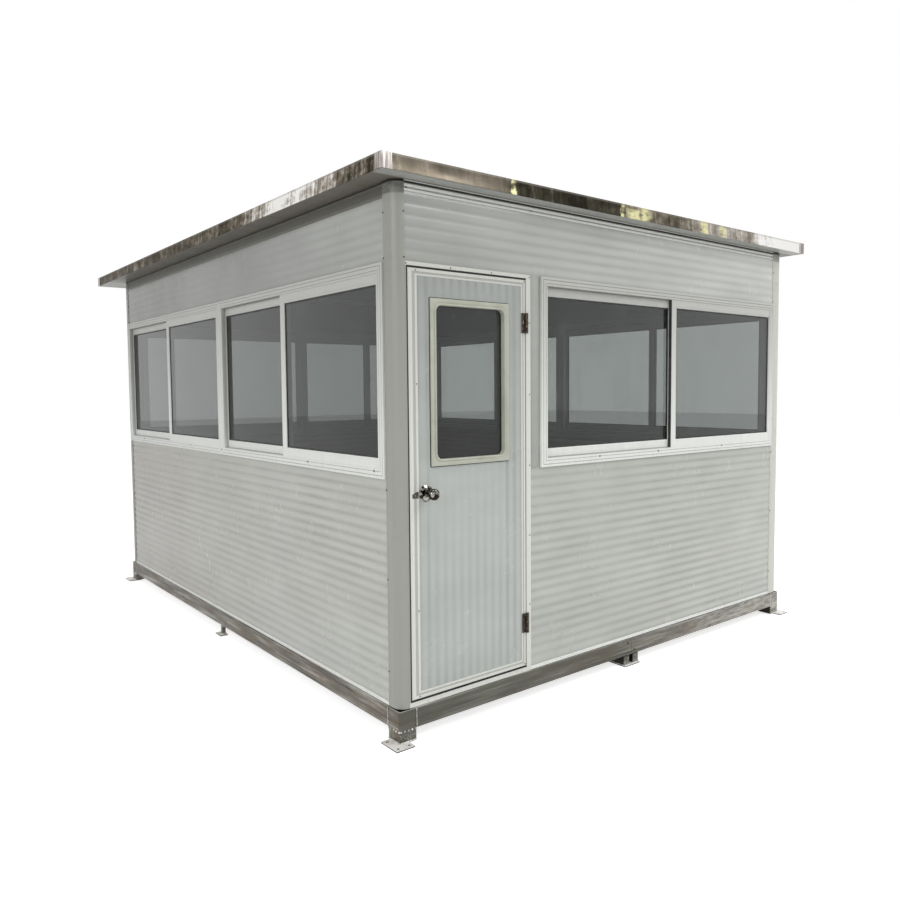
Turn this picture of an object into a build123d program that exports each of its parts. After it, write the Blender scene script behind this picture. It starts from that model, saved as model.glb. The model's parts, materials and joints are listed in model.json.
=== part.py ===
"""Security guard booth: a panel cabin on a steel base frame, with one hinged door.

Millimetres. +Z is up, the door wall faces -Y, and the origin lies on the ground
under the centre of the roof outline.

Each wall is drawn in its own flat coordinates and then turned into place:
    u  runs along the wall, to the right of someone who looks at it from outside
    v  is the depth, 0 at the outer face of the base beams, positive into the room
    z  is the height above the ground
"""

import os

from build123d import *

# --- driving dimensions -----------------------------------------------------
BASE_WIDTH = 3270.0            # along the door wall, over the base beams
BASE_LENGTH = 4080.0           # along the side walls, over the base beams

# base frame
BEAM = 95.0                    # square tube of the base ring
BEAM_BOTTOM = 60.0             # ground to the underside of the base ring
TUBE_WALL = 4.0
PLATE_THICKNESS = 8.0
CORNER_PLATE_PROUD = 50.0      # how far a corner's foot plate stands out past the beams
CORNER_PLATE_END_REACH = 50.0  # how far it goes in along the front and back beams
CORNER_PLATE_SIDE_REACH = 80.0 # the same along the side beams
ANCHOR_HOLE_R = 7.0
ANCHOR_EDGE = 20.0             # hole centre to plate edge
FRONT_LEG = 50.0               # face of the twin legs in the middle of the front and back
FRONT_LEG_DEPTH = 95.0
FRONT_LEG_GAP = 30.0
TWIN_PLATE_PROUD = 12.0        # foot plate of the twin legs, past their front
TWIN_PLATE_BEHIND = 25.0       # and past their back
SIDE_LEG = 25.0                # thin leg in the middle of each side
SIDE_LEG_FROM_FRONT = 2095.0
SIDE_PLATE_LENGTH = 85.0
SIDE_PLATE_PROUD = 25.0
SPLICE_GAP = 2.0               # seam where the front and back beams are joined
JOIST = 50.0
CROSS_JOISTS = 3

# walls
WALL = 50.0                    # sandwich panel thickness
WALL_INSET = 8.0               # panel face behind the beam face
TRACK_HEIGHT = 20.0
TRACK_LIP = 2.0                # track and channel stand this far past the panel
SILL = 1208.0                  # underside of the window frames
HEAD = 2185.0                  # top of the window frames
WALL_TOP = 2527.0
CHANNEL_HEIGHT = 35.0          # on the front and back walls
SIDE_CHANNEL_HEIGHT = 60.0
FLOOR_THICKNESS = 18.0

# corner posts
POST_RADIUS = 50.0
POST_PROUD = 3.0               # post face in front of the panel face
POST_SKIN = 3.0
POST_SIDE_FLANGE = 37.0        # leg past the rounded corner, along a side wall
POST_END_FLANGE = 66.0         # the same along the front and back walls
POST_DOOR_FLANGE = 4.0         # the shorter one beside the door

# sliding windows
FRAME_FACE = 45.0              # visible face of a window frame
FRAME_DEPTH = 70.0
FRAME_PROUD = 12.0             # frame face in front of the panel face
UNIT_GAP = 2.0                 # seam between neighbouring window frames
SIDE_SPLIT = 2001.0            # seam of a side wall's two units, from its right end
SIDE_MEETING_SHIFT = 50.0      # the right unit's sashes meet this far left of its middle
SASH_DEPTH = 20.0
SASH_SETBACK = 3.0             # outer sash behind the frame face
SASH_RUNNING_GAP = 3.0         # between the two sashes of a unit
SASH_RAIL = 49.0
SASH_JAMB_STILE = 8.0
SASH_MEETING_STILE = 48.0
PANE = 5.0

# door
JAMB_LOCK = 8.0                # width of the lock jamb
JAMB_HINGE = 31.0              # width of the hinge jamb
PIER = 71.0                    # wall between the hinge jamb and the window frame
LEAF_WIDTH = 718.0
LEAF_BOTTOM_GAP = 5.5
LEAF_TOP_GAP = 5.5
LEAF_SIDE_GAP = 5.5
LEAF_THICKNESS = 40.0
LEAF_SETBACK = 5.0             # leaf face behind the beam face
THRESHOLD_HEIGHT = 29.0
HEADER_HEIGHT = 21.5
STOP_GAP = 5.5                 # leaf to the stop behind it
STOP_REACH = 12.0
STOP_THICKNESS = 9.0
LOCK_STILE = 50.0
HINGE_STILE = 28.0
RAIL_HEIGHT = 33.0
DOOR_SIGHT_WIDTH = 418.0       # clear glass in the door
DOOR_SIGHT_HEIGHT = 708.0
DOOR_SIGHT_BOTTOM = 1291.0
DOOR_SIGHT_RADIUS = 31.0
MOULDING_FACE = 31.0           # clear glass to the outer edge of the moulding
MOULDING_PROUD = 12.0
GLASS_BITE = 10.0              # glass held inside the moulding
GLASS_EDGE_GAP = 2.0

# hinges
HINGE_HEIGHT = 100.0
HINGE_PLATE = 3.0
KNUCKLE_R = 8.0
PIN_R = 3.5
PIN_CLEARANCE = 0.5
KNUCKLE_END_GAP = 0.5
KNUCKLE_MIDDLE = 40.0          # length of the door's knuckle
HINGE_LEAF_PLATE = 22.0
HINGE_JAMB_PLATE = 6.0
LOW_HINGE_UP = 224.5           # leaf bottom to the lower hinge centre
HIGH_HINGE_DOWN = 215.0        # leaf top to the upper hinge centre

# knob
KNOB_HEIGHT = 1140.0
KNOB_BACKSET = 88.0            # leaf edge to knob axis
KNOB_REACH = 62.0              # leaf face to the middle of the knob
KNOB_R = 27.0
KNOB_DEPTH = 38.0
KNOB_EDGE_R = 14.0
KNOB_NECK_R = 11.0
ROSE_R = 39.0
ROSE_THICKNESS = 8.0
NECK_CLEARANCE = 1.0
SPINDLE_R = 5.0
SPINDLE_BORE_R = 6.5
STRIKE_HEIGHT = 60.0
STRIKE_THICKNESS = 2.0

# roof
GASKET = 12.0
GASKET_INSET = 12.0            # gasket face behind the beam face
GASKET_WIDTH = 42.0
ROOF_THICKNESS = 62.0
FASCIA_HEIGHT = 70.0
FASCIA_THICKNESS = 3.0
SIDE_OVERHANG = 114.0          # base beam face to fascia face
FRONT_OVERHANG = 85.0
BACK_OVERHANG = 340.0
ROOF_PANEL_JOINT = 1028.0      # first roof joint behind the front beam face
ROOF_PANEL_PITCH = 1135.0
ROOF_JOINTS = 3
ROOF_JOINT_GAP = 2.0
TOP_SHEET = 3.0
CAP_LEG = 55.0
CAP_THICKNESS = 2.0

# --- derived places ---------------------------------------------------------
FRONT_Y = -(BASE_LENGTH + BACK_OVERHANG - FRONT_OVERHANG) / 2
BACK_Y = FRONT_Y + BASE_LENGTH
RIGHT_X = BASE_WIDTH / 2
LEFT_X = -RIGHT_X

BEAM_TOP = BEAM_BOTTOM + BEAM
PANEL_BOTTOM = BEAM_TOP + TRACK_HEIGHT
PANEL_OUT = WALL_INSET
PANEL_IN = WALL_INSET + WALL
POST_FACE = WALL_INSET - POST_PROUD
POST_DEPTH = PANEL_IN - POST_FACE
POST_CORNER = max(POST_RADIUS, POST_DEPTH)   # part of each leg that turns the corner
POST_SIDE_LEG = POST_CORNER + POST_SIDE_FLANGE
POST_END_LEG = POST_CORNER + POST_END_FLANGE
POST_DOOR_LEG = POST_CORNER + POST_DOOR_FLANGE
SIDE_U0 = POST_FACE + POST_SIDE_LEG          # first free u on a side wall
END_U0 = POST_FACE + POST_END_LEG            # first free u on the back wall
SIDE_U1 = BASE_LENGTH - SIDE_U0
END_U1 = BASE_WIDTH - END_U0
FRAME_OUT = PANEL_OUT - FRAME_PROUD
DOOR_U0 = POST_FACE + POST_DOOR_LEG          # lock jamb starts here
LEAF_U0 = DOOR_U0 + JAMB_LOCK + LEAF_SIDE_GAP
LEAF_U1 = LEAF_U0 + LEAF_WIDTH
HINGE_JAMB_U0 = LEAF_U1 + LEAF_SIDE_GAP
PIER_U0 = HINGE_JAMB_U0 + JAMB_HINGE
WINDOW_U0 = PIER_U0 + PIER
THRESHOLD_TOP = BEAM_TOP + THRESHOLD_HEIGHT
HEADER_BOTTOM = HEAD - HEADER_HEIGHT
LEAF_Z0 = THRESHOLD_TOP + LEAF_BOTTOM_GAP
LEAF_Z1 = HEADER_BOTTOM - LEAF_TOP_GAP
LEAF_OUT = LEAF_SETBACK
LEAF_IN = LEAF_SETBACK + LEAF_THICKNESS
JAMB_IN = PANEL_IN + TRACK_LIP
STOP_OUT = LEAF_IN + STOP_GAP
LEAF_PANEL_U0 = LEAF_U0 + LOCK_STILE
LEAF_PANEL_U1 = LEAF_U1 - HINGE_STILE
LEAF_PANEL_Z0 = LEAF_Z0 + RAIL_HEIGHT
LEAF_PANEL_Z1 = LEAF_Z1 - RAIL_HEIGHT
SIGHT_U = (LEAF_U0 + LEAF_U1) / 2
SIGHT_Z = DOOR_SIGHT_BOTTOM + DOOR_SIGHT_HEIGHT / 2
PANE_V = (LEAF_OUT + LEAF_IN) / 2
DOOR_GLASS_WIDTH = DOOR_SIGHT_WIDTH + 2 * GLASS_BITE
DOOR_GLASS_HEIGHT = DOOR_SIGHT_HEIGHT + 2 * GLASS_BITE
GLASS_HOLE_WIDTH = DOOR_GLASS_WIDTH + 2 * GLASS_EDGE_GAP
GLASS_HOLE_HEIGHT = DOOR_GLASS_HEIGHT + 2 * GLASS_EDGE_GAP
HINGE_U = (LEAF_U1 + HINGE_JAMB_U0) / 2
HINGE_V = LEAF_OUT - KNUCKLE_R
LOW_HINGE = LEAF_Z0 + LOW_HINGE_UP
HIGH_HINGE = LEAF_Z1 - HIGH_HINGE_DOWN
KNOB_U = LEAF_U0 + KNOB_BACKSET
SOFFIT = WALL_TOP + GASKET
FASCIA_TOP = SOFFIT + FASCIA_HEIGHT
ROOF_FRONT_Y = FRONT_Y - FRONT_OVERHANG
ROOF_BACK_Y = BACK_Y + BACK_OVERHANG
ROOF_RIGHT_X = RIGHT_X + SIDE_OVERHANG
ROOF_LEFT_X = -ROOF_RIGHT_X

FRONT = Pos(LEFT_X, FRONT_Y, 0)
LEFT = Pos(LEFT_X, BACK_Y, 0) * Rot(0, 0, -90)
RIGHT = Pos(RIGHT_X, FRONT_Y, 0) * Rot(0, 0, 90)
BACK = Pos(RIGHT_X, BACK_Y, 0) * Rot(0, 0, 180)


# --- helpers ----------------------------------------------------------------
def block(u0, u1, v0, v1, z0, z1):
    """A box between two corners."""
    corner = (Align.MIN, Align.MIN, Align.MIN)
    return Pos(u0, v0, z0) * Box(u1 - u0, v1 - v0, z1 - z0, align=corner)


def tube(u0, u1, v0, v1, z0, z1, along):
    """A square tube that is open at both ends of the given axis."""
    du, dv, dz = (0 if axis == along else TUBE_WALL for axis in "uvz")
    hollow = block(u0 + du, u1 - du, v0 + dv, v1 - dv, z0 + dz, z1 - dz)
    return block(u0, u1, v0, v1, z0, z1) - hollow


def ring(u0, u1, z0, z1, v0, v1, left, right, bottom, top):
    """An upright rectangular frame with four face widths."""
    hole = block(u0 + left, u1 - right, v0, v1, z0 + bottom, z1 - top)
    return block(u0, u1, v0, v1, z0, z1) - hole


def cylinder_v(u, z, v0, v1, radius):
    """A cylinder along the depth axis."""
    return Pos(u, (v0 + v1) / 2, z) * Rot(90, 0, 0) * Cylinder(radius, v1 - v0)


def cylinder_z(u, v, z0, z1, radius):
    """An upright cylinder."""
    return Pos(u, v, (z0 + z1) / 2) * Cylinder(radius, z1 - z0)


def save(node, pieces):
    """Write one node, with each piece as a solid of its own."""
    solids = [solid for piece in pieces for solid in piece.solids()]
    shape = solids[0] if len(solids) == 1 else Compound(children=solids)
    export_step(shape, f"parts/{node}.step")


# --- base frame -------------------------------------------------------------
def base_frame():
    side = tube(BEAM, BASE_LENGTH - BEAM, 0, BEAM, BEAM_BOTTOM, BEAM_TOP, "u")
    save("base_beams_sides", [LEFT * side, RIGHT * side])

    middle = BASE_WIDTH / 2
    halves = [
        tube(BEAM, middle - SPLICE_GAP / 2, 0, BEAM, BEAM_BOTTOM, BEAM_TOP, "u"),
        tube(middle + SPLICE_GAP / 2, BASE_WIDTH - BEAM, 0, BEAM, BEAM_BOTTOM, BEAM_TOP, "u"),
    ]
    save("base_beams_ends", [wall * half for wall in (FRONT, BACK) for half in halves])

    corner = tube(0, BEAM, 0, BEAM, PLATE_THICKNESS, BEAM_TOP, "z")
    walls = (FRONT, RIGHT, BACK, LEFT)
    save("corner_legs", [wall * corner for wall in walls])

    twin = []
    for side_of_seam in (-1, 1):
        near = middle + side_of_seam * FRONT_LEG_GAP / 2
        far = near + side_of_seam * FRONT_LEG
        u0, u1 = sorted((near, far))
        twin.append(tube(u0, u1, 0, FRONT_LEG_DEPTH, PLATE_THICKNESS, BEAM_BOTTOM, "z"))
    leg_u = {LEFT: BASE_LENGTH - SIDE_LEG_FROM_FRONT, RIGHT: SIDE_LEG_FROM_FRONT}
    legs = [wall * leg for wall in (FRONT, BACK) for leg in twin]
    for wall, centre in leg_u.items():
        u0, u1 = centre - SIDE_LEG / 2, centre + SIDE_LEG / 2
        legs.append(wall * tube(u0, u1, 0, SIDE_LEG, PLATE_THICKNESS, BEAM_BOTTOM, "z"))
    save("middle_legs", legs)

    end_plate = corner_plate(CORNER_PLATE_END_REACH, CORNER_PLATE_SIDE_REACH)
    side_plate = corner_plate(CORNER_PLATE_SIDE_REACH, CORNER_PLATE_END_REACH)
    plates = [FRONT * end_plate, BACK * end_plate, RIGHT * side_plate, LEFT * side_plate]
    reach = FRONT_LEG_GAP / 2 + FRONT_LEG
    twin_plate = block(middle - reach, middle + reach, -TWIN_PLATE_PROUD,
                       FRONT_LEG_DEPTH + TWIN_PLATE_BEHIND, 0, PLATE_THICKNESS)
    plates += [wall * twin_plate for wall in (FRONT, BACK)]
    for wall, centre in leg_u.items():
        u0, u1 = centre - SIDE_PLATE_LENGTH / 2, centre + SIDE_PLATE_LENGTH / 2
        plates.append(wall * block(u0, u1, -SIDE_PLATE_PROUD, SIDE_LEG, 0, PLATE_THICKNESS))
    save("foot_plates", plates)


def corner_plate(reach_u, reach_v):
    """Foot plate with three anchor holes in the strips that stand clear of the leg."""
    low = -CORNER_PLATE_PROUD
    near = low + ANCHOR_EDGE
    plate = block(low, reach_u, low, reach_v, 0, PLATE_THICKNESS)
    for u, v in ((near, near), (reach_u - ANCHOR_EDGE, near), (near, reach_v - ANCHOR_EDGE)):
        plate -= cylinder_z(u, v, 0, PLATE_THICKNESS, ANCHOR_HOLE_R)
    return plate


def floor_frame():
    """Joists between the base beams, and the deck on top of them."""
    z0 = BEAM_TOP - JOIST
    middle = BASE_WIDTH / 2
    long_joists = []
    for side_of_seam in (-1, 1):
        near = middle + side_of_seam * FRONT_LEG_GAP / 2
        far = near + side_of_seam * JOIST
        u0, u1 = sorted((near, far))
        long_joists.append(FRONT * tube(u0, u1, BEAM, BASE_LENGTH - BEAM, z0, BEAM_TOP, "v"))
    save("floor_joists_long", long_joists)

    cross_joists = []
    pitch = BASE_LENGTH / (CROSS_JOISTS + 1)
    half_gap = FRONT_LEG_GAP / 2 + JOIST
    for index in range(CROSS_JOISTS):
        v0 = pitch * (index + 1) - JOIST / 2
        for u0, u1 in ((BEAM, middle - half_gap), (middle + half_gap, BASE_WIDTH - BEAM)):
            cross_joists.append(FRONT * tube(u0, u1, v0, v0 + JOIST, z0, BEAM_TOP, "u"))
    save("floor_joists_cross", cross_joists)

    edge = PANEL_IN + TRACK_LIP
    deck = block(edge, BASE_WIDTH - edge, edge, BASE_LENGTH - edge, BEAM_TOP, BEAM_TOP + FLOOR_THICKNESS)
    save("floor_deck", [FRONT * deck])


# --- corner posts -----------------------------------------------------------
def post_section(leg_u, leg_v, depth):
    """L-shaped outline with a large outer radius, corner at the origin."""
    r = POST_RADIUS
    inner = [(leg_u, depth), (depth, depth), (depth, leg_v)]
    straight = Polyline((r, 0), (leg_u, 0), *inner, (0, leg_v), (0, r))
    return make_face([straight, RadiusArc((0, r), (r, 0), r)])


def corner_post(leg_u, leg_v):
    """Hollow corner extrusion: leg_u runs along the wall, leg_v into the depth."""
    section = post_section(leg_u, leg_v, POST_DEPTH)
    section -= offset(section, amount=-POST_SKIN)
    return Pos(POST_FACE, POST_FACE, BEAM_TOP) * extrude(section, amount=WALL_TOP - BEAM_TOP)


def corner_posts():
    save("corner_posts", [
        FRONT * corner_post(POST_DOOR_LEG, POST_SIDE_LEG),
        RIGHT * corner_post(POST_SIDE_LEG, POST_END_LEG),
        BACK * corner_post(POST_END_LEG, POST_SIDE_LEG),
        LEFT * corner_post(POST_SIDE_LEG, POST_END_LEG),
    ])


# --- walls ------------------------------------------------------------------
def walls():
    def lower(u0, u1):
        return block(u0, u1, PANEL_OUT, PANEL_IN, PANEL_BOTTOM, SILL)

    def upper(u0, u1, channel_height):
        return block(u0, u1, PANEL_OUT, PANEL_IN, HEAD, WALL_TOP - channel_height)

    def track(u0, u1):
        return block(u0, u1, PANEL_OUT - TRACK_LIP, PANEL_IN + TRACK_LIP, BEAM_TOP, PANEL_BOTTOM)

    def channel(u0, u1, channel_height):
        return block(u0, u1, PANEL_OUT - TRACK_LIP, PANEL_IN + TRACK_LIP, WALL_TOP - channel_height, WALL_TOP)

    rows = (
        (LEFT, SIDE_U0, SIDE_U1, SIDE_CHANNEL_HEIGHT), (RIGHT, SIDE_U0, SIDE_U1, SIDE_CHANNEL_HEIGHT),
        (BACK, END_U0, END_U1, CHANNEL_HEIGHT), (FRONT, DOOR_U0, END_U1, CHANNEL_HEIGHT),
    )

    save("lower_wall_left", [LEFT * lower(SIDE_U0, SIDE_U1)])
    save("lower_wall_right", [RIGHT * lower(SIDE_U0, SIDE_U1)])
    save("lower_wall_back", [BACK * lower(END_U0, END_U1)])
    save("lower_wall_front", [FRONT * lower(PIER_U0, END_U1)])
    save("door_side_pier", [FRONT * block(PIER_U0, WINDOW_U0, PANEL_OUT, PANEL_IN, SILL, HEAD)])
    save("upper_walls", [wall * upper(*row) for wall, *row in rows])
    save("bottom_tracks", [
        LEFT * track(SIDE_U0, SIDE_U1), RIGHT * track(SIDE_U0, SIDE_U1),
        BACK * track(END_U0, END_U1), FRONT * track(PIER_U0, END_U1),
    ])
    save("top_channels", [wall * channel(*row) for wall, *row in rows])


# --- sliding windows --------------------------------------------------------
def window_unit(u0, u1, shift):
    """A two-sash slider: its frame, sashes and panes. The sashes meet shift left of its middle."""
    frame = ring(u0, u1, SILL, HEAD, FRAME_OUT, FRAME_OUT + FRAME_DEPTH,
                 FRAME_FACE, FRAME_FACE, FRAME_FACE, FRAME_FACE)
    inner_u0 = u0 + FRAME_FACE
    inner_u1 = u1 - FRAME_FACE
    z0 = SILL + FRAME_FACE
    z1 = HEAD - FRAME_FACE
    middle = (inner_u0 + inner_u1) / 2 - shift
    half = SASH_MEETING_STILE / 2
    outer_v = FRAME_OUT + SASH_SETBACK
    inner_v = outer_v + SASH_DEPTH + SASH_RUNNING_GAP
    layout = (
        (inner_u0, middle + half, inner_v, SASH_JAMB_STILE, SASH_MEETING_STILE),
        (middle - half, inner_u1, outer_v, SASH_MEETING_STILE, SASH_JAMB_STILE),
    )
    sashes, panes = [], []
    for s0, s1, v, left, right in layout:
        sashes.append(ring(s0, s1, z0, z1, v, v + SASH_DEPTH, left, right, SASH_RAIL, SASH_RAIL))
        pane_v = v + (SASH_DEPTH - PANE) / 2
        panes.append(block(s0 + left, s1 - right, pane_v, pane_v + PANE, z0 + SASH_RAIL, z1 - SASH_RAIL))
    return frame, sashes, panes


def window_row(*units):
    """Window units side by side, each given by its two ends and its meeting shift."""
    frames, sashes, panes = [], [], []
    for unit in units:
        frame, unit_sashes, unit_panes = window_unit(*unit)
        frames.append(frame)
        sashes += unit_sashes
        panes += unit_panes
    return frames, sashes, panes


def windows():
    half = UNIT_GAP / 2
    side_seam = BASE_LENGTH - SIDE_SPLIT
    side = window_row((SIDE_U0, side_seam - half, 0), (side_seam + half, SIDE_U1, SIDE_MEETING_SHIFT))
    back_seam = (END_U0 + END_U1) / 2
    back = window_row((END_U0, back_seam - half, 0), (back_seam + half, END_U1, 0))
    front = window_row((WINDOW_U0, END_U1, 0))
    rows = {"left": (LEFT, side), "right": (RIGHT, side), "back": (BACK, back), "front": (FRONT, front)}
    all_panes = []
    for name, (wall, (frames, sashes, panes)) in rows.items():
        save(f"window_frames_{name}", [wall * frame for frame in frames])
        save(f"window_sashes_{name}", [wall * sash for sash in sashes])
        all_panes += [wall * pane for pane in panes]
    save("window_glass", all_panes)


# --- door frame -------------------------------------------------------------
def door_frame():
    lock = block(DOOR_U0, DOOR_U0 + JAMB_LOCK, LEAF_OUT, JAMB_IN, THRESHOLD_TOP, HEADER_BOTTOM)
    lock += block(DOOR_U0, DOOR_U0 + JAMB_LOCK + STOP_REACH, STOP_OUT, STOP_OUT + STOP_THICKNESS,
                  THRESHOLD_TOP, HEADER_BOTTOM)
    hinge = block(HINGE_JAMB_U0, PIER_U0, LEAF_OUT, JAMB_IN, THRESHOLD_TOP, HEADER_BOTTOM)
    hinge += block(HINGE_JAMB_U0 - STOP_REACH, PIER_U0, STOP_OUT, STOP_OUT + STOP_THICKNESS,
                   THRESHOLD_TOP, HEADER_BOTTOM)
    save("door_jambs", [FRONT * lock, FRONT * hinge])
    save("door_header", [FRONT * block(DOOR_U0, PIER_U0, LEAF_OUT, JAMB_IN, HEADER_BOTTOM, HEAD)])
    save("door_threshold", [FRONT * block(DOOR_U0, PIER_U0, LEAF_OUT, JAMB_IN, BEAM_TOP, THRESHOLD_TOP)])


# --- door leaf --------------------------------------------------------------
def centred(width, height, v0, v1):
    """A block centred on the door's glass."""
    corner = (Align.CENTER, Align.MIN, Align.CENTER)
    return Pos(SIGHT_U, v0, SIGHT_Z) * Box(width, v1 - v0, height, align=corner)


def moulding(face_v, glass_v):
    """Square-cornered moulding with a round-cornered sight hole; face_v is the leaf face it lies on."""
    outward = -1 if face_v < glass_v else 1
    proud_v = face_v + outward * MOULDING_PROUD
    outer = centred(DOOR_SIGHT_WIDTH + 2 * MOULDING_FACE, DOOR_SIGHT_HEIGHT + 2 * MOULDING_FACE,
                    min(face_v, proud_v), max(face_v, proud_v))
    lip = centred(GLASS_HOLE_WIDTH, GLASS_HOLE_HEIGHT, min(face_v, glass_v), max(face_v, glass_v))
    sight = RectangleRounded(DOOR_SIGHT_WIDTH, DOOR_SIGHT_HEIGHT, DOOR_SIGHT_RADIUS)
    depth = MOULDING_PROUD + LEAF_THICKNESS
    tool = Pos(SIGHT_U, PANE_V, SIGHT_Z) * Rot(90, 0, 0) * extrude(sight, amount=depth, both=True)
    return (outer + lip) - tool


def door_leaf():
    save("door_stiles", [
        FRONT * block(LEAF_U0, LEAF_PANEL_U0, LEAF_OUT, LEAF_IN, LEAF_Z0, LEAF_Z1),
        FRONT * block(LEAF_PANEL_U1, LEAF_U1, LEAF_OUT, LEAF_IN, LEAF_Z0, LEAF_Z1),
    ])
    save("door_rails", [
        FRONT * block(LEAF_PANEL_U0, LEAF_PANEL_U1, LEAF_OUT, LEAF_IN, LEAF_Z0, LEAF_PANEL_Z0),
        FRONT * block(LEAF_PANEL_U0, LEAF_PANEL_U1, LEAF_OUT, LEAF_IN, LEAF_PANEL_Z1, LEAF_Z1),
    ])

    panel = block(LEAF_PANEL_U0, LEAF_PANEL_U1, LEAF_OUT, LEAF_IN, LEAF_PANEL_Z0, LEAF_PANEL_Z1)
    panel -= centred(GLASS_HOLE_WIDTH, GLASS_HOLE_HEIGHT, LEAF_OUT, LEAF_IN)
    panel -= cylinder_v(KNOB_U, KNOB_HEIGHT, LEAF_OUT, LEAF_IN, SPINDLE_BORE_R)
    save("door_panel", [FRONT * panel])

    pane = centred(DOOR_GLASS_WIDTH, DOOR_GLASS_HEIGHT, PANE_V - PANE / 2, PANE_V + PANE / 2)
    save("door_glass", [FRONT * pane])
    save("door_window_mouldings", [
        FRONT * moulding(LEAF_OUT, PANE_V - PANE / 2),
        FRONT * moulding(LEAF_IN, PANE_V + PANE / 2),
    ])


# --- hinges -----------------------------------------------------------------
def hinges():
    door_halves, frame_halves = [], []
    plate_v0 = LEAF_OUT - HINGE_PLATE
    bore_r = PIN_R + PIN_CLEARANCE
    reach = KNUCKLE_R + KNUCKLE_END_GAP
    for centre in (LOW_HINGE, HIGH_HINGE):
        z0, z1 = centre - HINGE_HEIGHT / 2, centre + HINGE_HEIGHT / 2
        m0, m1 = centre - KNUCKLE_MIDDLE / 2, centre + KNUCKLE_MIDDLE / 2
        door = block(HINGE_U - reach - HINGE_LEAF_PLATE, HINGE_U - reach, plate_v0, LEAF_OUT, z0, z1)
        door += block(HINGE_U - reach, HINGE_U, plate_v0, LEAF_OUT, m0, m1)
        door += cylinder_z(HINGE_U, HINGE_V, m0, m1, KNUCKLE_R)
        door -= cylinder_z(HINGE_U, HINGE_V, m0, m1, bore_r)
        door_halves.append(FRONT * door)

        frame = block(HINGE_U + reach, HINGE_U + reach + HINGE_JAMB_PLATE, plate_v0, LEAF_OUT, z0, z1)
        for k0, k1 in ((z0, m0 - KNUCKLE_END_GAP), (m1 + KNUCKLE_END_GAP, z1)):
            frame += block(HINGE_U, HINGE_U + reach, plate_v0, LEAF_OUT, k0, k1)
            frame += cylinder_z(HINGE_U, HINGE_V, k0, k1, KNUCKLE_R)
        frame += cylinder_z(HINGE_U, HINGE_V, z0, z1, PIN_R)
        frame_halves.append(FRONT * frame)
    save("hinge_door_halves", door_halves)
    save("hinge_frame_halves", frame_halves)


# --- knob -------------------------------------------------------------------
def knob():
    roses = []
    for v0, v1 in ((LEAF_OUT - ROSE_THICKNESS, LEAF_OUT), (LEAF_IN, LEAF_IN + ROSE_THICKNESS)):
        rose = cylinder_v(KNOB_U, KNOB_HEIGHT, v0, v1, ROSE_R)
        roses.append(FRONT * (rose - cylinder_v(KNOB_U, KNOB_HEIGHT, v0, v1, KNOB_NECK_R + NECK_CLEARANCE)))
    save("knob_roses", roses)

    out_v = LEAF_OUT - KNOB_REACH
    in_v = LEAF_IN + KNOB_REACH
    body = cylinder_v(KNOB_U, KNOB_HEIGHT, out_v, in_v, SPINDLE_R)
    for ball_v, neck_v in ((out_v, LEAF_OUT - NECK_CLEARANCE), (in_v, LEAF_IN + NECK_CLEARANCE)):
        grip = cylinder_v(KNOB_U, KNOB_HEIGHT, ball_v - KNOB_DEPTH / 2, ball_v + KNOB_DEPTH / 2, KNOB_R)
        body += fillet(grip.edges().filter_by(GeomType.CIRCLE), KNOB_EDGE_R)
        body += cylinder_v(KNOB_U, KNOB_HEIGHT, min(ball_v, neck_v), max(ball_v, neck_v), KNOB_NECK_R)
    save("door_knob", [FRONT * body])

    z0 = KNOB_HEIGHT - STRIKE_HEIGHT / 2
    strike_u0 = DOOR_U0 + JAMB_LOCK
    save("lock_strike", [FRONT * block(strike_u0, strike_u0 + STRIKE_THICKNESS, LEAF_OUT + STRIKE_THICKNESS,
                                       LEAF_IN, z0, z0 + STRIKE_HEIGHT)])


# --- roof -------------------------------------------------------------------
def cap_block(x, y, sx, sy):
    """A square block at a roof corner; sx and sy point out of the roof."""
    x0, x1 = sorted((x, x - sx * CAP_LEG))
    y0, y1 = sorted((y, y - sy * CAP_LEG))
    return block(x0, x1, y0, y1, SOFFIT, FASCIA_TOP)


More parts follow.
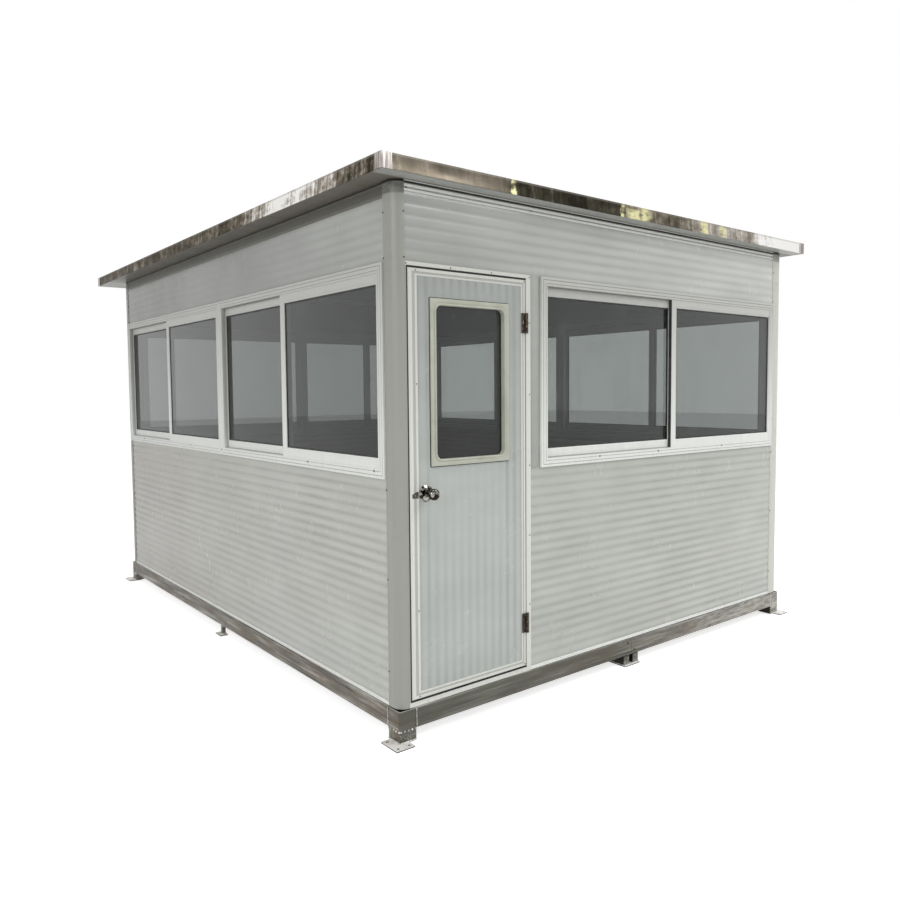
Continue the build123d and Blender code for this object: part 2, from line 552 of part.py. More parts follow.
def roof():
    near = GASKET_INSET
    outer = block(near, BASE_WIDTH - near, near, BASE_LENGTH - near, WALL_TOP, SOFFIT)
    far = GASKET_INSET + GASKET_WIDTH
    inner = block(far, BASE_WIDTH - far, far, BASE_LENGTH - far, WALL_TOP, SOFFIT)
    gasket = fillet(outer.edges().filter_by(Axis.Z), POST_RADIUS) - inner
    save("roof_gasket", [FRONT * gasket])

    x0 = ROOF_LEFT_X + FASCIA_THICKNESS
    x1 = ROOF_RIGHT_X - FASCIA_THICKNESS
    y_start = ROOF_FRONT_Y + FASCIA_THICKNESS
    y_end = ROOF_BACK_Y - FASCIA_THICKNESS
    roof_top = SOFFIT + ROOF_THICKNESS
    panels = []
    y0 = y_start
    for index in range(ROOF_JOINTS + 1):
        y1 = y_end
        if index < ROOF_JOINTS:
            y1 = FRONT_Y + ROOF_PANEL_JOINT + index * ROOF_PANEL_PITCH - ROOF_JOINT_GAP / 2
        panels.append(block(x0, x1, y0, y1, SOFFIT, roof_top))
        y0 = y1 + ROOF_JOINT_GAP
    save("roof_panels", panels)
    save("roof_top_sheet", [block(x0, x1, y_start, y_end, roof_top, roof_top + TOP_SHEET)])

    save("fascia_sides", [
        block(ROOF_LEFT_X, x0, ROOF_FRONT_Y, ROOF_BACK_Y, SOFFIT, FASCIA_TOP),
        block(x1, ROOF_RIGHT_X, ROOF_FRONT_Y, ROOF_BACK_Y, SOFFIT, FASCIA_TOP),
    ])
    save("fascia_ends", [
        block(x0, x1, ROOF_FRONT_Y, y_start, SOFFIT, FASCIA_TOP),
        block(x0, x1, y_end, ROOF_BACK_Y, SOFFIT, FASCIA_TOP),
    ])

    caps = []
    for sx in (-1, 1):
        for y, sy in ((ROOF_FRONT_Y, -1), (ROOF_BACK_Y, 1)):
            outer_x = sx * (ROOF_RIGHT_X + CAP_THICKNESS)
            outer_y = y + sy * CAP_THICKNESS
            core_x = sx * ROOF_RIGHT_X
            cap = cap_block(outer_x, outer_y, sx, sy) - cap_block(core_x, y, sx, sy)
            caps.append(cap)
    save("roof_corner_caps", caps)


os.makedirs("parts", exist_ok=True)
base_frame()
floor_frame()
corner_posts()
walls()
windows()
door_frame()
door_leaf()
hinges()
knob()
roof()
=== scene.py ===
"""Looks of the security guard booth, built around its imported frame.

Metres throughout. +Z is up and the door wall faces -Y. Each wall has its own
coordinates: u runs along it to the right of someone outside, v is the depth
from the face of the base beams into the room, and z is the height.
"""

import json
import logging
import math
from abc import ABC, abstractmethod
from dataclasses import dataclass
from enum import Enum
from typing import Iterable, Iterator, Sequence

import bmesh
import bpy
from mathutils import Matrix, Vector

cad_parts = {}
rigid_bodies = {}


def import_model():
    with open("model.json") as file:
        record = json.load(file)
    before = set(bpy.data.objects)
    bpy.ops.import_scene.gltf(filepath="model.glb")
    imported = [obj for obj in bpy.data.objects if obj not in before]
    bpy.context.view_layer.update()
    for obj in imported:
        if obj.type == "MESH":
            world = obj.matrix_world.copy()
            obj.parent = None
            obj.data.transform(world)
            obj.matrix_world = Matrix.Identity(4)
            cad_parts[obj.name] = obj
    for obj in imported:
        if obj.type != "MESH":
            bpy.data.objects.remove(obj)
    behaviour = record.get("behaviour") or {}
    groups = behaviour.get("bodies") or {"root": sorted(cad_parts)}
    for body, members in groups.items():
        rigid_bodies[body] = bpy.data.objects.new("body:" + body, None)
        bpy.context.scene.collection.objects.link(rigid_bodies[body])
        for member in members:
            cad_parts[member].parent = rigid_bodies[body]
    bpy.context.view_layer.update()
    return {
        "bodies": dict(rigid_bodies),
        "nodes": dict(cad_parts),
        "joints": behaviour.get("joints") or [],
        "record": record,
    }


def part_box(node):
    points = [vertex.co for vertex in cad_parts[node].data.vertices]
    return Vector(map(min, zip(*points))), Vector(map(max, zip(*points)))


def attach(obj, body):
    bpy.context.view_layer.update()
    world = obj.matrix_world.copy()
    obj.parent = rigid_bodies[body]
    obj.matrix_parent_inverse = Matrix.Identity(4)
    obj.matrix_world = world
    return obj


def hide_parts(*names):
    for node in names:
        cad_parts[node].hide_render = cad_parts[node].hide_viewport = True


LOG = logging.getLogger("booth")
MM = 0.001
SAME_POINT = 2e-5  # points of a CAD node closer than this are one point
WALL_REACH = 0.1  # a solid that is deeper than this belongs to the next wall
NEAR_WALL = (-0.3, 0.2)  # a wall's solids lie between these depths
HEAD_RADIUS = 4.5 * MM
Pair = tuple[float, float]
Triple = tuple[float, float, float]
Colour = tuple[float, float, float]
Socket = bpy.types.NodeSocket
Spot = tuple[Sequence[float], Sequence[float]]


# --- names ---------------------------------------------------------------
class Body(str, Enum):
    """The bodies that pieces ride on."""

    BOOTH = "booth"
    DOOR = "door"
    KNOB = "knob"


class Side(str, Enum):
    """The four walls, named as the nodes name them."""

    FRONT = "front"
    RIGHT = "right"
    BACK = "back"
    LEFT = "left"


class Run(Enum):
    """The direction in which a straight member runs, in its wall's coordinates."""

    ALONG = 0
    DEPTH = 1
    UPRIGHT = 2


# --- node graphs ---------------------------------------------------------
class Graph:
    """Adds nodes to a tree and joins them."""

    def __init__(self, tree: bpy.types.NodeTree) -> None:
        """Keeps the tree that gets the nodes."""
        self.tree = tree

    @classmethod
    def of(cls, holder: bpy.types.Material | bpy.types.World) -> "Graph":
        """Starts an empty graph in a material or a world."""
        holder.use_nodes = True
        holder.node_tree.nodes.clear()
        return cls(holder.node_tree)

    def add(self, kind: str, feeds: dict | None = None, **settings: object) -> bpy.types.Node:
        """Adds one node.

        Args:
            kind: The node's type name.
            feeds: A value or a socket for each input, by name or index.
            **settings: Properties of the node.

        Returns:
            The new node.
        """
        node = self.tree.nodes.new(kind)
        for key, value in settings.items():
            setattr(node, key, value)
        for key, value in (feeds or {}).items():
            if isinstance(value, Socket):
                self.tree.links.new(value, node.inputs[key])
            else:
                node.inputs[key].default_value = value
        return node

    def out(self, kind: str, feeds: dict | None = None, **settings: object) -> Socket:
        """Adds one node and gives its first output."""
        return self.add(kind, feeds, **settings).outputs[0]

    def sum(self, kind: str, *values: object) -> Socket:
        """Does one step of arithmetic on numbers or sockets."""
        return self.out("ShaderNodeMath", dict(enumerate(values)), operation=kind)

    def times(self, first: object, second: object) -> Socket:
        """Multiplies two values."""
        return self.sum("MULTIPLY", first, second)

    def place(self, scale: Triple = (1, 1, 1)) -> Socket:
        """Gives object coordinates, scaled along each axis."""
        where = self.add("ShaderNodeTexCoord").outputs["Object"]
        return self.out("ShaderNodeMapping", {"Vector": where, "Scale": scale})

    def axes(self, vector: Socket | None = None) -> Sequence[Socket]:
        """Gives x, y and z of a vector, or of the object coordinates."""
        return self.add("ShaderNodeSeparateXYZ", {0: vector or self.place()}).outputs

    def noise(self, scale: float, detail: float = 3.0, rough: float = 0.5, stretch: Triple = (1, 1, 1)) -> Socket:
        """Gives a smooth random value from 0 to 1, with some spots per metre and some finer layers."""
        feeds = {"Vector": self.place(stretch), "Scale": scale, "Detail": detail, "Roughness": rough}
        return self.out("ShaderNodeTexNoise", feeds)

    def ramp(self, value: object, *stops: tuple[float, Colour]) -> Socket:
        """Turns a value into a colour.

        Args:
            value: The value from 0 to 1.
            *stops: Positions and colours.

        Returns:
            The colour.
        """
        node = self.add("ShaderNodeValToRGB", {0: value})
        while len(node.color_ramp.elements) < len(stops):
            node.color_ramp.elements.new(0.5)
        for element, (position, colour) in zip(node.color_ramp.elements, stops):
            element.position = position
            element.color = (*colour, 1.0)
        return node.outputs[0]

    def span(self, value: object, low: float, high: float, start: float = 0.0, end: float = 1.0) -> Socket:
        """Maps values from low to high onto values from start to end, clamped."""
        return self.out("ShaderNodeMapRange", {0: value, 1: low, 2: high, 3: start, 4: end})

    def spots(self, scale: float, low: float, high: float, start: float = 0.0, end: float = 1.0,
              detail: float = 3.0, rough: float = 0.5, stretch: Triple = (1, 1, 1)) -> Socket:
        """Gives a random value with its range mapped; see noise and span."""
        return self.span(self.noise(scale, detail, rough, stretch), low, high, start, end)

    def blend(self, share: object, first: object, second: object, kind: str = "MIX") -> Socket:
        """Mixes two colours.

        Args:
            share: Share of the second colour.
            first: A colour or a socket.
            second: A colour or a socket.
            kind: How they are mixed.

        Returns:
            The mixed colour.
        """
        solid = [(*c, 1.0) if isinstance(c, tuple) else c for c in (first, second)]
        node = self.add("ShaderNodeMix", {0: share, 6: solid[0], 7: solid[1]}, data_type="RGBA", blend_type=kind)
        return node.outputs[2]

    def scaled(self, colour: object, factor: object) -> Socket:
        """Multiplies the three parts of a colour by a factor."""
        even = self.out("ShaderNodeCombineXYZ", {0: factor, 1: factor, 2: factor})
        return self.blend(1.0, colour, even, "MULTIPLY")

    def door_wall_light(self, left: float, right: float, start: float = -1.6) -> Socket:
        """Gives a factor for painted light and shade that is 1 on three walls and changes along the door wall.

        Args:
            left: Factor at the left end of the door wall.
            right: Factor at its right end.
            start: Where along x the change starts.

        Returns:
            The factor.
        """
        across, depth, _ = self.axes()
        change = self.sum("SUBTRACT", self.span(across, start, 1.6, left, right), 1.0)
        return self.sum("MULTIPLY_ADD", change, self.span(depth, -2.09, -2.105), 1.0)

    def groove(self) -> Socket:
        """Gives the mark that panels and frames carry in their valleys and grooves."""
        return self.add("ShaderNodeAttribute", attribute_name="valley").outputs["Fac"]

    def direct(self, *, shadow: bool = False) -> Socket:
        """Gives 1 for rays that see a thing plainly, or else for rays that carry lamp light.

        Args:
            shadow: True for the rays that carry lamp light.

        Returns:
            The value.
        """
        path = self.add("ShaderNodeLightPath").outputs
        if shadow:
            return self.sum("MAXIMUM", path["Is Shadow Ray"], path["Is Diffuse Ray"])
        through = self.sum("MAXIMUM", path["Is Glossy Ray"], path["Is Transmission Ray"])
        return self.sum("MAXIMUM", path["Is Camera Ray"], through)

    def bump(self, height: object, strength: float, distance: float) -> Socket:
        """Makes a normal from a height, with a strength from 0 to 1 and a depth in metres."""
        return self.out("ShaderNodeBump", {"Height": height, "Strength": strength, "Distance": distance})

    def surface(self, **feeds: object) -> Socket:
        """Adds the main shader; its inputs are named with underscores for spaces."""
        return self.out("ShaderNodeBsdfPrincipled", {key.replace("_", " "): value for key, value in feeds.items()})


# --- finishes ------------------------------------------------------------
@dataclass(frozen=True)
class Finish(ABC):
    """A finish that becomes one material."""

    title: str
    slot: str

    @abstractmethod
    def shade(self, graph: Graph) -> Socket:
        """Builds the shader.

        Args:
            graph: The material's nodes.

        Returns:
            The shader's output.
        """

    def make(self) -> bpy.types.Material:
        """Makes the material."""
        material = bpy.data.materials.new(self.title)
        graph = Graph.of(material)
        graph.add("ShaderNodeOutputMaterial", {"Surface": self.shade(graph)})
        return material


@dataclass(frozen=True)
class PanelPaint(Finish):
    """Gloss paint on ribbed sheet: valleys darkened with dirt and painted shade, a tone that changes towards the back
    in cloudy patches, painted shade towards the top where deep is set, and painted light and shade along the door wall.
    """

    colour: Colour = (0.455, 0.475, 0.445)
    back_tone: Colour = (0.425, 0.405, 0.365)
    valley_dust_and_shade: float = 0.34
    film: float = 0.85
    reach: Pair = (-1.9, 1.6)
    door_wall_light: Pair = (1.0, 1.0)
    deep: float = 0.0
    top_shade_tone: Colour = (0.29, 0.305, 0.295)
    valley_dust_and_shade_tone: Colour = (0.22, 0.22, 0.20)

    def shade(self, graph: Graph) -> Socket:
        """Builds the paint; see the base class."""
        _, depth, rise = graph.axes()
        # The colour moves to the back tone towards the back and in cloudy patches; in the upper walls' stock this is
        # painted shade that darkens their far parts.
        patch = graph.spots(0.9, 0.3, 0.7, -0.2, 0.2, stretch=(1, 1, 1.4))
        far = graph.sum("ADD", graph.span(depth, *self.reach), patch)
        base = graph.blend(graph.span(far, 0.0, 1.0, 0.0, self.film), self.colour, self.back_tone)
        # Painted shade: with deep set, the colour darkens from 1.25 m up to 2.1 m.
        if self.deep:
            base = graph.blend(graph.span(rise, 1.25, 2.1, 0.0, self.deep), base, self.top_shade_tone)
        # Painted light and shade: along the door wall the colour is scaled from its left end to its right.
        base = graph.scaled(base, graph.door_wall_light(*self.door_wall_light))
        base = graph.scaled(base, graph.spots(2.6, 0.28, 0.72, 0.93, 1.06, 5.0, 0.6, (1, 1, 2.2)))
        # Dirt and painted shade: the rib valleys are darkened in patches, for their dirt and for the shade that falls
        # in them.
        valley_patches = graph.spots(1.7, 0.32, 0.68, 0.25, 1.0, 4.0, 0.6, (0.7, 0.7, 1))
        base = graph.blend(graph.times(graph.times(graph.groove(), valley_patches), self.valley_dust_and_shade), base, self.valley_dust_and_shade_tone)
        peel = graph.noise(34.0, 4.0, 0.6, (1, 1, 1.6))
        return graph.surface(Base_Color=base, Roughness=graph.spots(5.0, 0.3, 0.7, 0.16, 0.30, 4.0),
                             Coat_Weight=0.30, Coat_Roughness=0.06, Normal=graph.bump(peel, 0.10, 0.0012))


@dataclass(frozen=True)
class SatinPaint(Finish):
    """Satin coating on extruded aluminium, with faint draw lines along the extrusion and dirt; where set, painted shade
    towards the roof, at the posts' heads and in grooves, and painted light and shade along the door wall.
    """

    colour: Colour = (0.62, 0.64, 0.60)
    grime_and_shade: Colour = (0.30, 0.30, 0.27)
    soiling: float = 0.25
    gloss: float = 0.34
    eaves_shade: float = 0.0
    door_wall_light: Pair = (1.0, 1.0)
    groove: float = 0.70
    head: float = 0.0
    groove_shade_tone: Colour = (0.085, 0.085, 0.075)
    head_shade_tone: Colour = (0.10, 0.098, 0.085)

    def shade(self, graph: Graph) -> Socket:
        """Builds the coating; see the base class."""
        lines = graph.noise(1.0, 2.0, stretch=(90, 90, 0.6))
        base = graph.blend(graph.span(lines, 0.3, 0.7, 0.0, 0.10), self.colour, self.grime_and_shade)
        if self.eaves_shade:
            # Painted shade: the colour darkens towards the dark tone from 1.35 m up to 2.14 m, for the shade of the
            # roof's overhang.
            rise = graph.axes()[2]
            base = graph.blend(graph.span(rise, 1.35, 2.14, 0.0, self.eaves_shade), base, self.grime_and_shade)
            # Painted shade: a dark band, in patches, at the top of the posts, just below the roof.
            smear = graph.spots(22.0, 0.35, 0.65, 0.6, 1.0, stretch=(1, 1, 2.5))
            base = graph.blend(graph.times(graph.span(rise, 2.474, 2.484, 0.0, self.head), smear), base, self.head_shade_tone)
        # Painted light and shade: along the door wall the colour is scaled from its left end to its right.
        base = graph.scaled(base, graph.door_wall_light(*self.door_wall_light, 0.9))
        # Painted shade: the marked grooves and reveals are darkened.
        base = graph.blend(graph.times(graph.groove(), self.groove), base, self.groove_shade_tone)
        spots = graph.noise(26.0, 4.0, 0.7)
        dirt = graph.times(graph.span(spots, 0.52, 0.78), graph.spots(2.5, 0.35, 0.7, detail=4.0))
        base = graph.blend(graph.times(dirt, self.soiling), base, self.grime_and_shade)
        rough = graph.span(spots, 0.2, 0.8, self.gloss - 0.06, self.gloss + 0.12)
        return graph.surface(Base_Color=base, Roughness=rough, Coat_Weight=0.08, Coat_Roughness=0.2,
                             Normal=graph.bump(lines, 0.08, 0.0003))


@dataclass(frozen=True)
class RoofCoat(Finish):
    """Dull brown-grey roof panel underside, with painted light on the strips outside the end walls."""

    dull: Colour = (0.155, 0.142, 0.118)
    streaked: Colour = (0.21, 0.19, 0.165)
    lit_tone: Colour = (0.44, 0.45, 0.425)
    front: float = -2.165
    back: float = 1.93

    def shade(self, graph: Graph) -> Socket:
        """Builds the coating; see the base class."""
        depth = graph.axes()[1]
        # Painted light: the strips outside the front and back walls turn to the lit tone, in patches.
        ends = graph.sum("MAXIMUM", graph.span(depth, self.front, self.front - 0.02),
                         graph.span(depth, self.back - 0.02, self.back))
        streak = graph.noise(1.0, 4.0, 0.6, (0.8, 14, 1))
        cloud = graph.noise(4.0, 4.0, 0.6)
        base = graph.blend(graph.span(streak, 0.35, 0.65, 0.0, 0.6), self.dull, self.streaked)
        base = graph.blend(graph.times(ends, graph.span(cloud, 0.3, 0.7, 0.7, 1.0)), base, self.lit_tone)
        return graph.surface(Base_Color=base, Roughness=graph.span(cloud, 0.3, 0.7, 0.34, 0.5), Coat_Weight=0.12,
                             Coat_Roughness=0.2, Normal=graph.bump(streak, 0.08, 0.0008))


@dataclass(frozen=True)
class StainedSteel(Finish):
    """Brushed stainless tube with brown water stains and grain lines along it, a painted highlight along the beams' top
    edges, and painted shade at the plates' lower edges and on some lower faces of the legs.
    """

    dark: Colour = (0.042, 0.040, 0.032)
    body: Colour = (0.165, 0.152, 0.128)
    light: Colour = (0.41, 0.39, 0.345)
    stain: Colour = (0.150, 0.118, 0.088)
    shine: float = 0.85
    door_side: float = 0.72
    rim_shade: float = 0.0
    door_face: Pair = (-2.163, -2.150)

    def shade(self, graph: Graph) -> Socket:
        """Builds the steel; see the base class."""
        grain = graph.noise(1.0, 4.0, 0.6, (1.2, 1.2, 170))
        bands = graph.noise(1.0, 4.0, 0.6, (2.4, 2.4, 34))
        mixed = graph.sum("ADD", graph.times(grain, 0.42), graph.times(bands, 0.58))
        base = graph.ramp(mixed, (0.37, self.dark), (0.50, self.body), (0.64, self.light))
        stain = graph.noise(5.0, 5.0, 0.62, (0.8, 0.8, 3.5))
        base = graph.blend(graph.span(stain, 0.46, 0.66, 0.0, 0.8), base, self.stain)
        rub = graph.noise(13.0, 4.0, 0.7, (1, 1, 5))
        base = graph.blend(graph.span(rub, 0.64, 0.76, 0.0, 0.5), base, self.light)
        across, depth, rise = graph.axes()
        if self.door_side:
            front = graph.span(depth, *self.door_face, 1.0, 0.0)
            base = graph.blend(graph.times(front, graph.span(across, -0.9, 0.9, self.door_side, 0.12)), base,
                               (0.082, 0.086, 0.073))
            bright = graph.times(front, graph.span(across, 0.0, 1.3, 0.0, 0.5))
            base = graph.blend(graph.times(bright, graph.span(rub, 0.40, 0.62, 0.25, 1.0)), base, (0.62, 0.61, 0.57))
        # Painted highlight: a pale line, in patches, along the beams' top edges.
        edge = graph.times(graph.span(rise, 0.1535, 0.1555),
                           graph.spots(1.3, 0.42, 0.52, detail=2.0, stretch=(1.3, 1.3, 1)))
        base = graph.blend(edge, base, (0.80, 0.79, 0.76))
        # Painted shade: where set, the lowest 5 to 7 mm turn near-black, for the shade at the foot plates' edges and in
        # their holes.
        base = graph.blend(graph.span(rise, 0.0052, 0.0066, self.rim_shade, 0.0), base, (0.035, 0.033, 0.030))
        if not self.rim_shade:
            base = self.leg_ends(graph, base, across, rise)
        return graph.surface(Base_Color=base, Metallic=self.shine, Roughness=graph.span(stain, 0.3, 0.7, 0.26, 0.48),
                             Normal=graph.bump(mixed, 0.2, 0.0004))

    def leg_ends(self, graph: Graph, base: Socket, across: Socket, rise: Socket) -> Socket:
        """Speckles the legs' lower ends, and paints shade on their faces below 60 mm that look towards -x, except at
        the left wall.

        Args:
            graph: The material's nodes.
            base: The colour so far.
            across: Place along x.
            rise: Height.

        Returns:
            The colour.
        """
        low = graph.times(graph.span(rise, 0.058, 0.048, 0.0, 0.55), graph.spots(130.0, 0.50, 0.62, detail=2.0))
        base = graph.blend(low, base, (0.36, 0.35, 0.32))
        facing = graph.axes(graph.add("ShaderNodeTexCoord").outputs["Normal"])[0]
        # Painted shade: faces that look towards -x below 60 mm turn near-black, except at the left wall.
        under = graph.times(graph.span(facing, -0.5, -0.9, 0.0, 0.9), graph.span(rise, 0.0610, 0.0600))
        return graph.blend(graph.times(under, graph.span(across, -1.45, -1.40)), base, (0.012, 0.012, 0.011))


@dataclass(frozen=True)
class PaintedReflectionSteel(Finish):
    """Polished sheet with painted reflections: fine upright streaks over broad dark, brown and bright reaches, and
    golden glints.
    """

    axis: int = 0
    tones: tuple[Pair, ...] = ((-2.0, 0.5), (2.0, 0.5))
    gold_glints: tuple[Pair, ...] = ()
    contrast: float = 1.0
    calm: float = 1.0
    half: float = 2.3
    layers: tuple[Triple, ...] = ((4.6, 4.0, 0.95), (48.0, 3.0, 0.62))

    def shade(self, graph: Graph) -> Socket:
        """Builds the polish; see the base class."""
        where = graph.add("ShaderNodeTexCoord").outputs["Object"]
        split = graph.axes(where)
        waves = graph.out("ShaderNodeTexNoise", {"Vector": where, "Scale": 24.0, "Detail": 3.0, "Roughness": 0.6})
        wavy = graph.sum("ADD", split[self.axis], graph.times(waves, 0.040))
        lean = graph.sum("ADD", wavy, graph.times(split[2], 0.18))
        streaks = []
        for scale, detail, _ in self.layers:
            feeds = {"W": lean, "Scale": scale, "Detail": detail, "Roughness": 0.6}
            streaks.append(graph.sum("SUBTRACT", graph.out("ShaderNodeTexNoise", feeds, noise_dimensions="1D"), 0.5))
        # Painted reflections: broad dark, brown and bright reaches at the listed places along the sheet, with fine
        # streaks over them.
        share = graph.span(wavy, -self.half, self.half)
        value = graph.ramp(share, *(((place + self.half) / (2 * self.half), (tone,) * 3) for place, tone in self.tones))
        lively = graph.span(split[self.axis], -1.05, -0.97, self.contrast * self.calm, self.contrast)
        for streak, (_, _, strength) in zip(streaks, self.layers):
            value = graph.sum("MULTIPLY_ADD", graph.times(streak, strength), lively, value)
        patch = graph.noise(17.0, 3.0, 0.6, (1, 1, 1.6))
        value = graph.sum("MULTIPLY_ADD", graph.span(patch, 0.3, 0.7, -0.16, 0.16), lively, value)
        base = graph.ramp(value, (0.0, (0.014, 0.013, 0.008)), (0.22, (0.050, 0.044, 0.030)),
                          (0.42, (0.150, 0.128, 0.100)), (0.55, (0.265, 0.235, 0.195)),
                          (0.72, (0.47, 0.44, 0.395)), (0.95, (0.93, 0.92, 0.90)))
        # Painted glints: golden bands at the listed places.
        for place, width in self.gold_glints:
            far = graph.sum("ABSOLUTE", graph.sum("SUBTRACT", wavy, place + 0.02))
            glow = graph.times(graph.span(far, width * 0.5, width, 1.0, 0.0), graph.span(patch, 0.38, 0.58, 0.1, 0.9))
            base = graph.blend(glow, base, (0.80, 0.76, 0.42))
        # The top few millimetres are toned towards a mid brown-grey, part of the painted reflection.
        base = graph.blend(graph.times(graph.span(split[2], 2.598, 2.602), 0.35), base, (0.30, 0.28, 0.25))
        return graph.surface(Base_Color=base, Metallic=0.8, Specular_Tint=(0.50, 0.48, 0.45, 1.0),
                             Roughness=graph.span(streaks[0], -0.2, 0.2, 0.14, 0.28),
                             Normal=graph.bump(streaks[0], 0.2, 0.002))


@dataclass(frozen=True)
class Grain:
    """A random pattern and the part of its range that counts."""

    scale: float
    low: float
    high: float
    most: float = 1.0
    detail: float = 3.0
    rough: float = 0.5
    stretch: Triple = (1, 1, 1)

    def value(self, graph: Graph) -> Socket:
        """Gives the pattern."""
        return graph.noise(self.scale, self.detail, self.rough, self.stretch)

    def share(self, graph: Graph, value: Socket) -> Socket:
        """Gives how much of the second tone the pattern's value stands for."""
        return graph.span(value, self.low, self.high, 0.0, self.most)


@dataclass(frozen=True)
class Mottled(Finish):
    """A stock in two tones with marks over them; its roughness and relief follow the pattern."""

    first: Colour
    second: Colour
    grain: Grain
    rough: Pair
    relief: Pair
    metal: float = 0.0
    marks: Grain | None = None
    marked: Colour = (0.5, 0.5, 0.5)
    fine: Grain | None = None
    rubbed: bool = False

    def shade(self, graph: Graph) -> Socket:
        """Builds the stock; see the base class."""
        guide = height = self.grain.value(graph)
        base = graph.blend(self.grain.share(graph, guide), self.first, self.second)
        if self.marks:
            marks = self.marks.value(graph)
            base = graph.blend(self.marks.share(graph, marks), base, self.marked)
            guide = marks if self.rubbed else guide
        if self.fine:
            height = self.fine.value(graph)
        return graph.surface(Base_Color=base, Metallic=self.metal, Normal=graph.bump(height, *self.relief),
                             Roughness=graph.span(guide, 0.3, 0.7, *self.rough))


@dataclass(frozen=True)
class TintedPane(Finish):
    """Float glass that lets lamps through, so the room behind it is lit; the left wall's panes are tinted darker as
    painted shade.
    """

    tint: Colour = (0.48, 0.505, 0.495)
    grey: Colour = (0.27, 0.288, 0.281)
    lamp: Colour = (0.42, 0.44, 0.43)
    film: Colour = (0.42, 0.45, 0.45)

    def shade(self, graph: Graph) -> Socket:
        """Builds the glass; see the base class."""
        smear = graph.noise(6.0, 5.0, 0.7, (1, 1, 0.4))
        # Painted shade: the panes of the left wall are tinted darker.
        tint = graph.blend(graph.span(graph.axes()[0], -1.60, -1.55, 1.0, 0.0), self.tint, self.grey)
        glass = graph.surface(Base_Color=tint, Roughness=graph.span(smear, 0.45, 0.8, 0.0, 0.05),
                              IOR=1.44, Transmission_Weight=1.0)
        film = graph.out("ShaderNodeBsdfDiffuse", {"Color": (*self.film, 1.0)})
        glass = graph.out("ShaderNodeMixShader", {0: graph.span(smear, 0.5, 0.85, 0.015, 0.09), 1: glass, 2: film})
        clear = graph.out("ShaderNodeBsdfTransparent", {0: (*self.lamp, 1.0)})
        return graph.out("ShaderNodeMixShader", {0: graph.direct(shadow=True), 1: glass, 2: clear})


@dataclass(frozen=True)
class RustySteel(Finish):
    """Dark hinge steel with brown rust in random patches and rubbed bright patches."""

    dark: Colour = (0.016, 0.0145, 0.0115)
    rust: Colour = (0.058, 0.038, 0.023)
    bright: Colour = (0.29, 0.275, 0.235)

    def shade(self, graph: Graph) -> Socket:
        """Builds the steel; see the base class."""
        patch = graph.noise(75.0, 5.0, 0.7)
        base = graph.ramp(patch, (0.38, self.dark), (0.50, self.rust), (0.60, self.dark), (0.70, self.bright))
        fleck = graph.spots(190.0, 0.56, 0.68, 0.0, 0.8, 3.0, 0.6, (1, 1, 0.5))
        return graph.surface(Base_Color=graph.blend(fleck, base, self.bright), Metallic=0.7,
                             Roughness=graph.span(patch, 0.3, 0.7, 0.35, 0.65), Normal=graph.bump(patch, 0.3, 0.0006))


@dataclass(frozen=True)
class Polished(Finish):
    """Polished plated metal with fine turned lines and fingermarks."""

    colour: Colour = (0.36, 0.345, 0.315)
    dark: Colour = (0.018, 0.016, 0.013)

    def shade(self, graph: Graph) -> Socket:
        """Builds the plating; see the base class."""
        smear = graph.noise(60.0, 3.0, 0.6)
        base = graph.blend(graph.spots(38.0, 0.46, 0.58, detail=2.0, stretch=(1, 2.2, 1)), self.dark, self.colour)
        return graph.surface(Base_Color=base, Metallic=1.0, Roughness=graph.span(smear, 0.3, 0.7, 0.06, 0.22),
                             Normal=graph.bump(smear, 0.05, 0.0003))


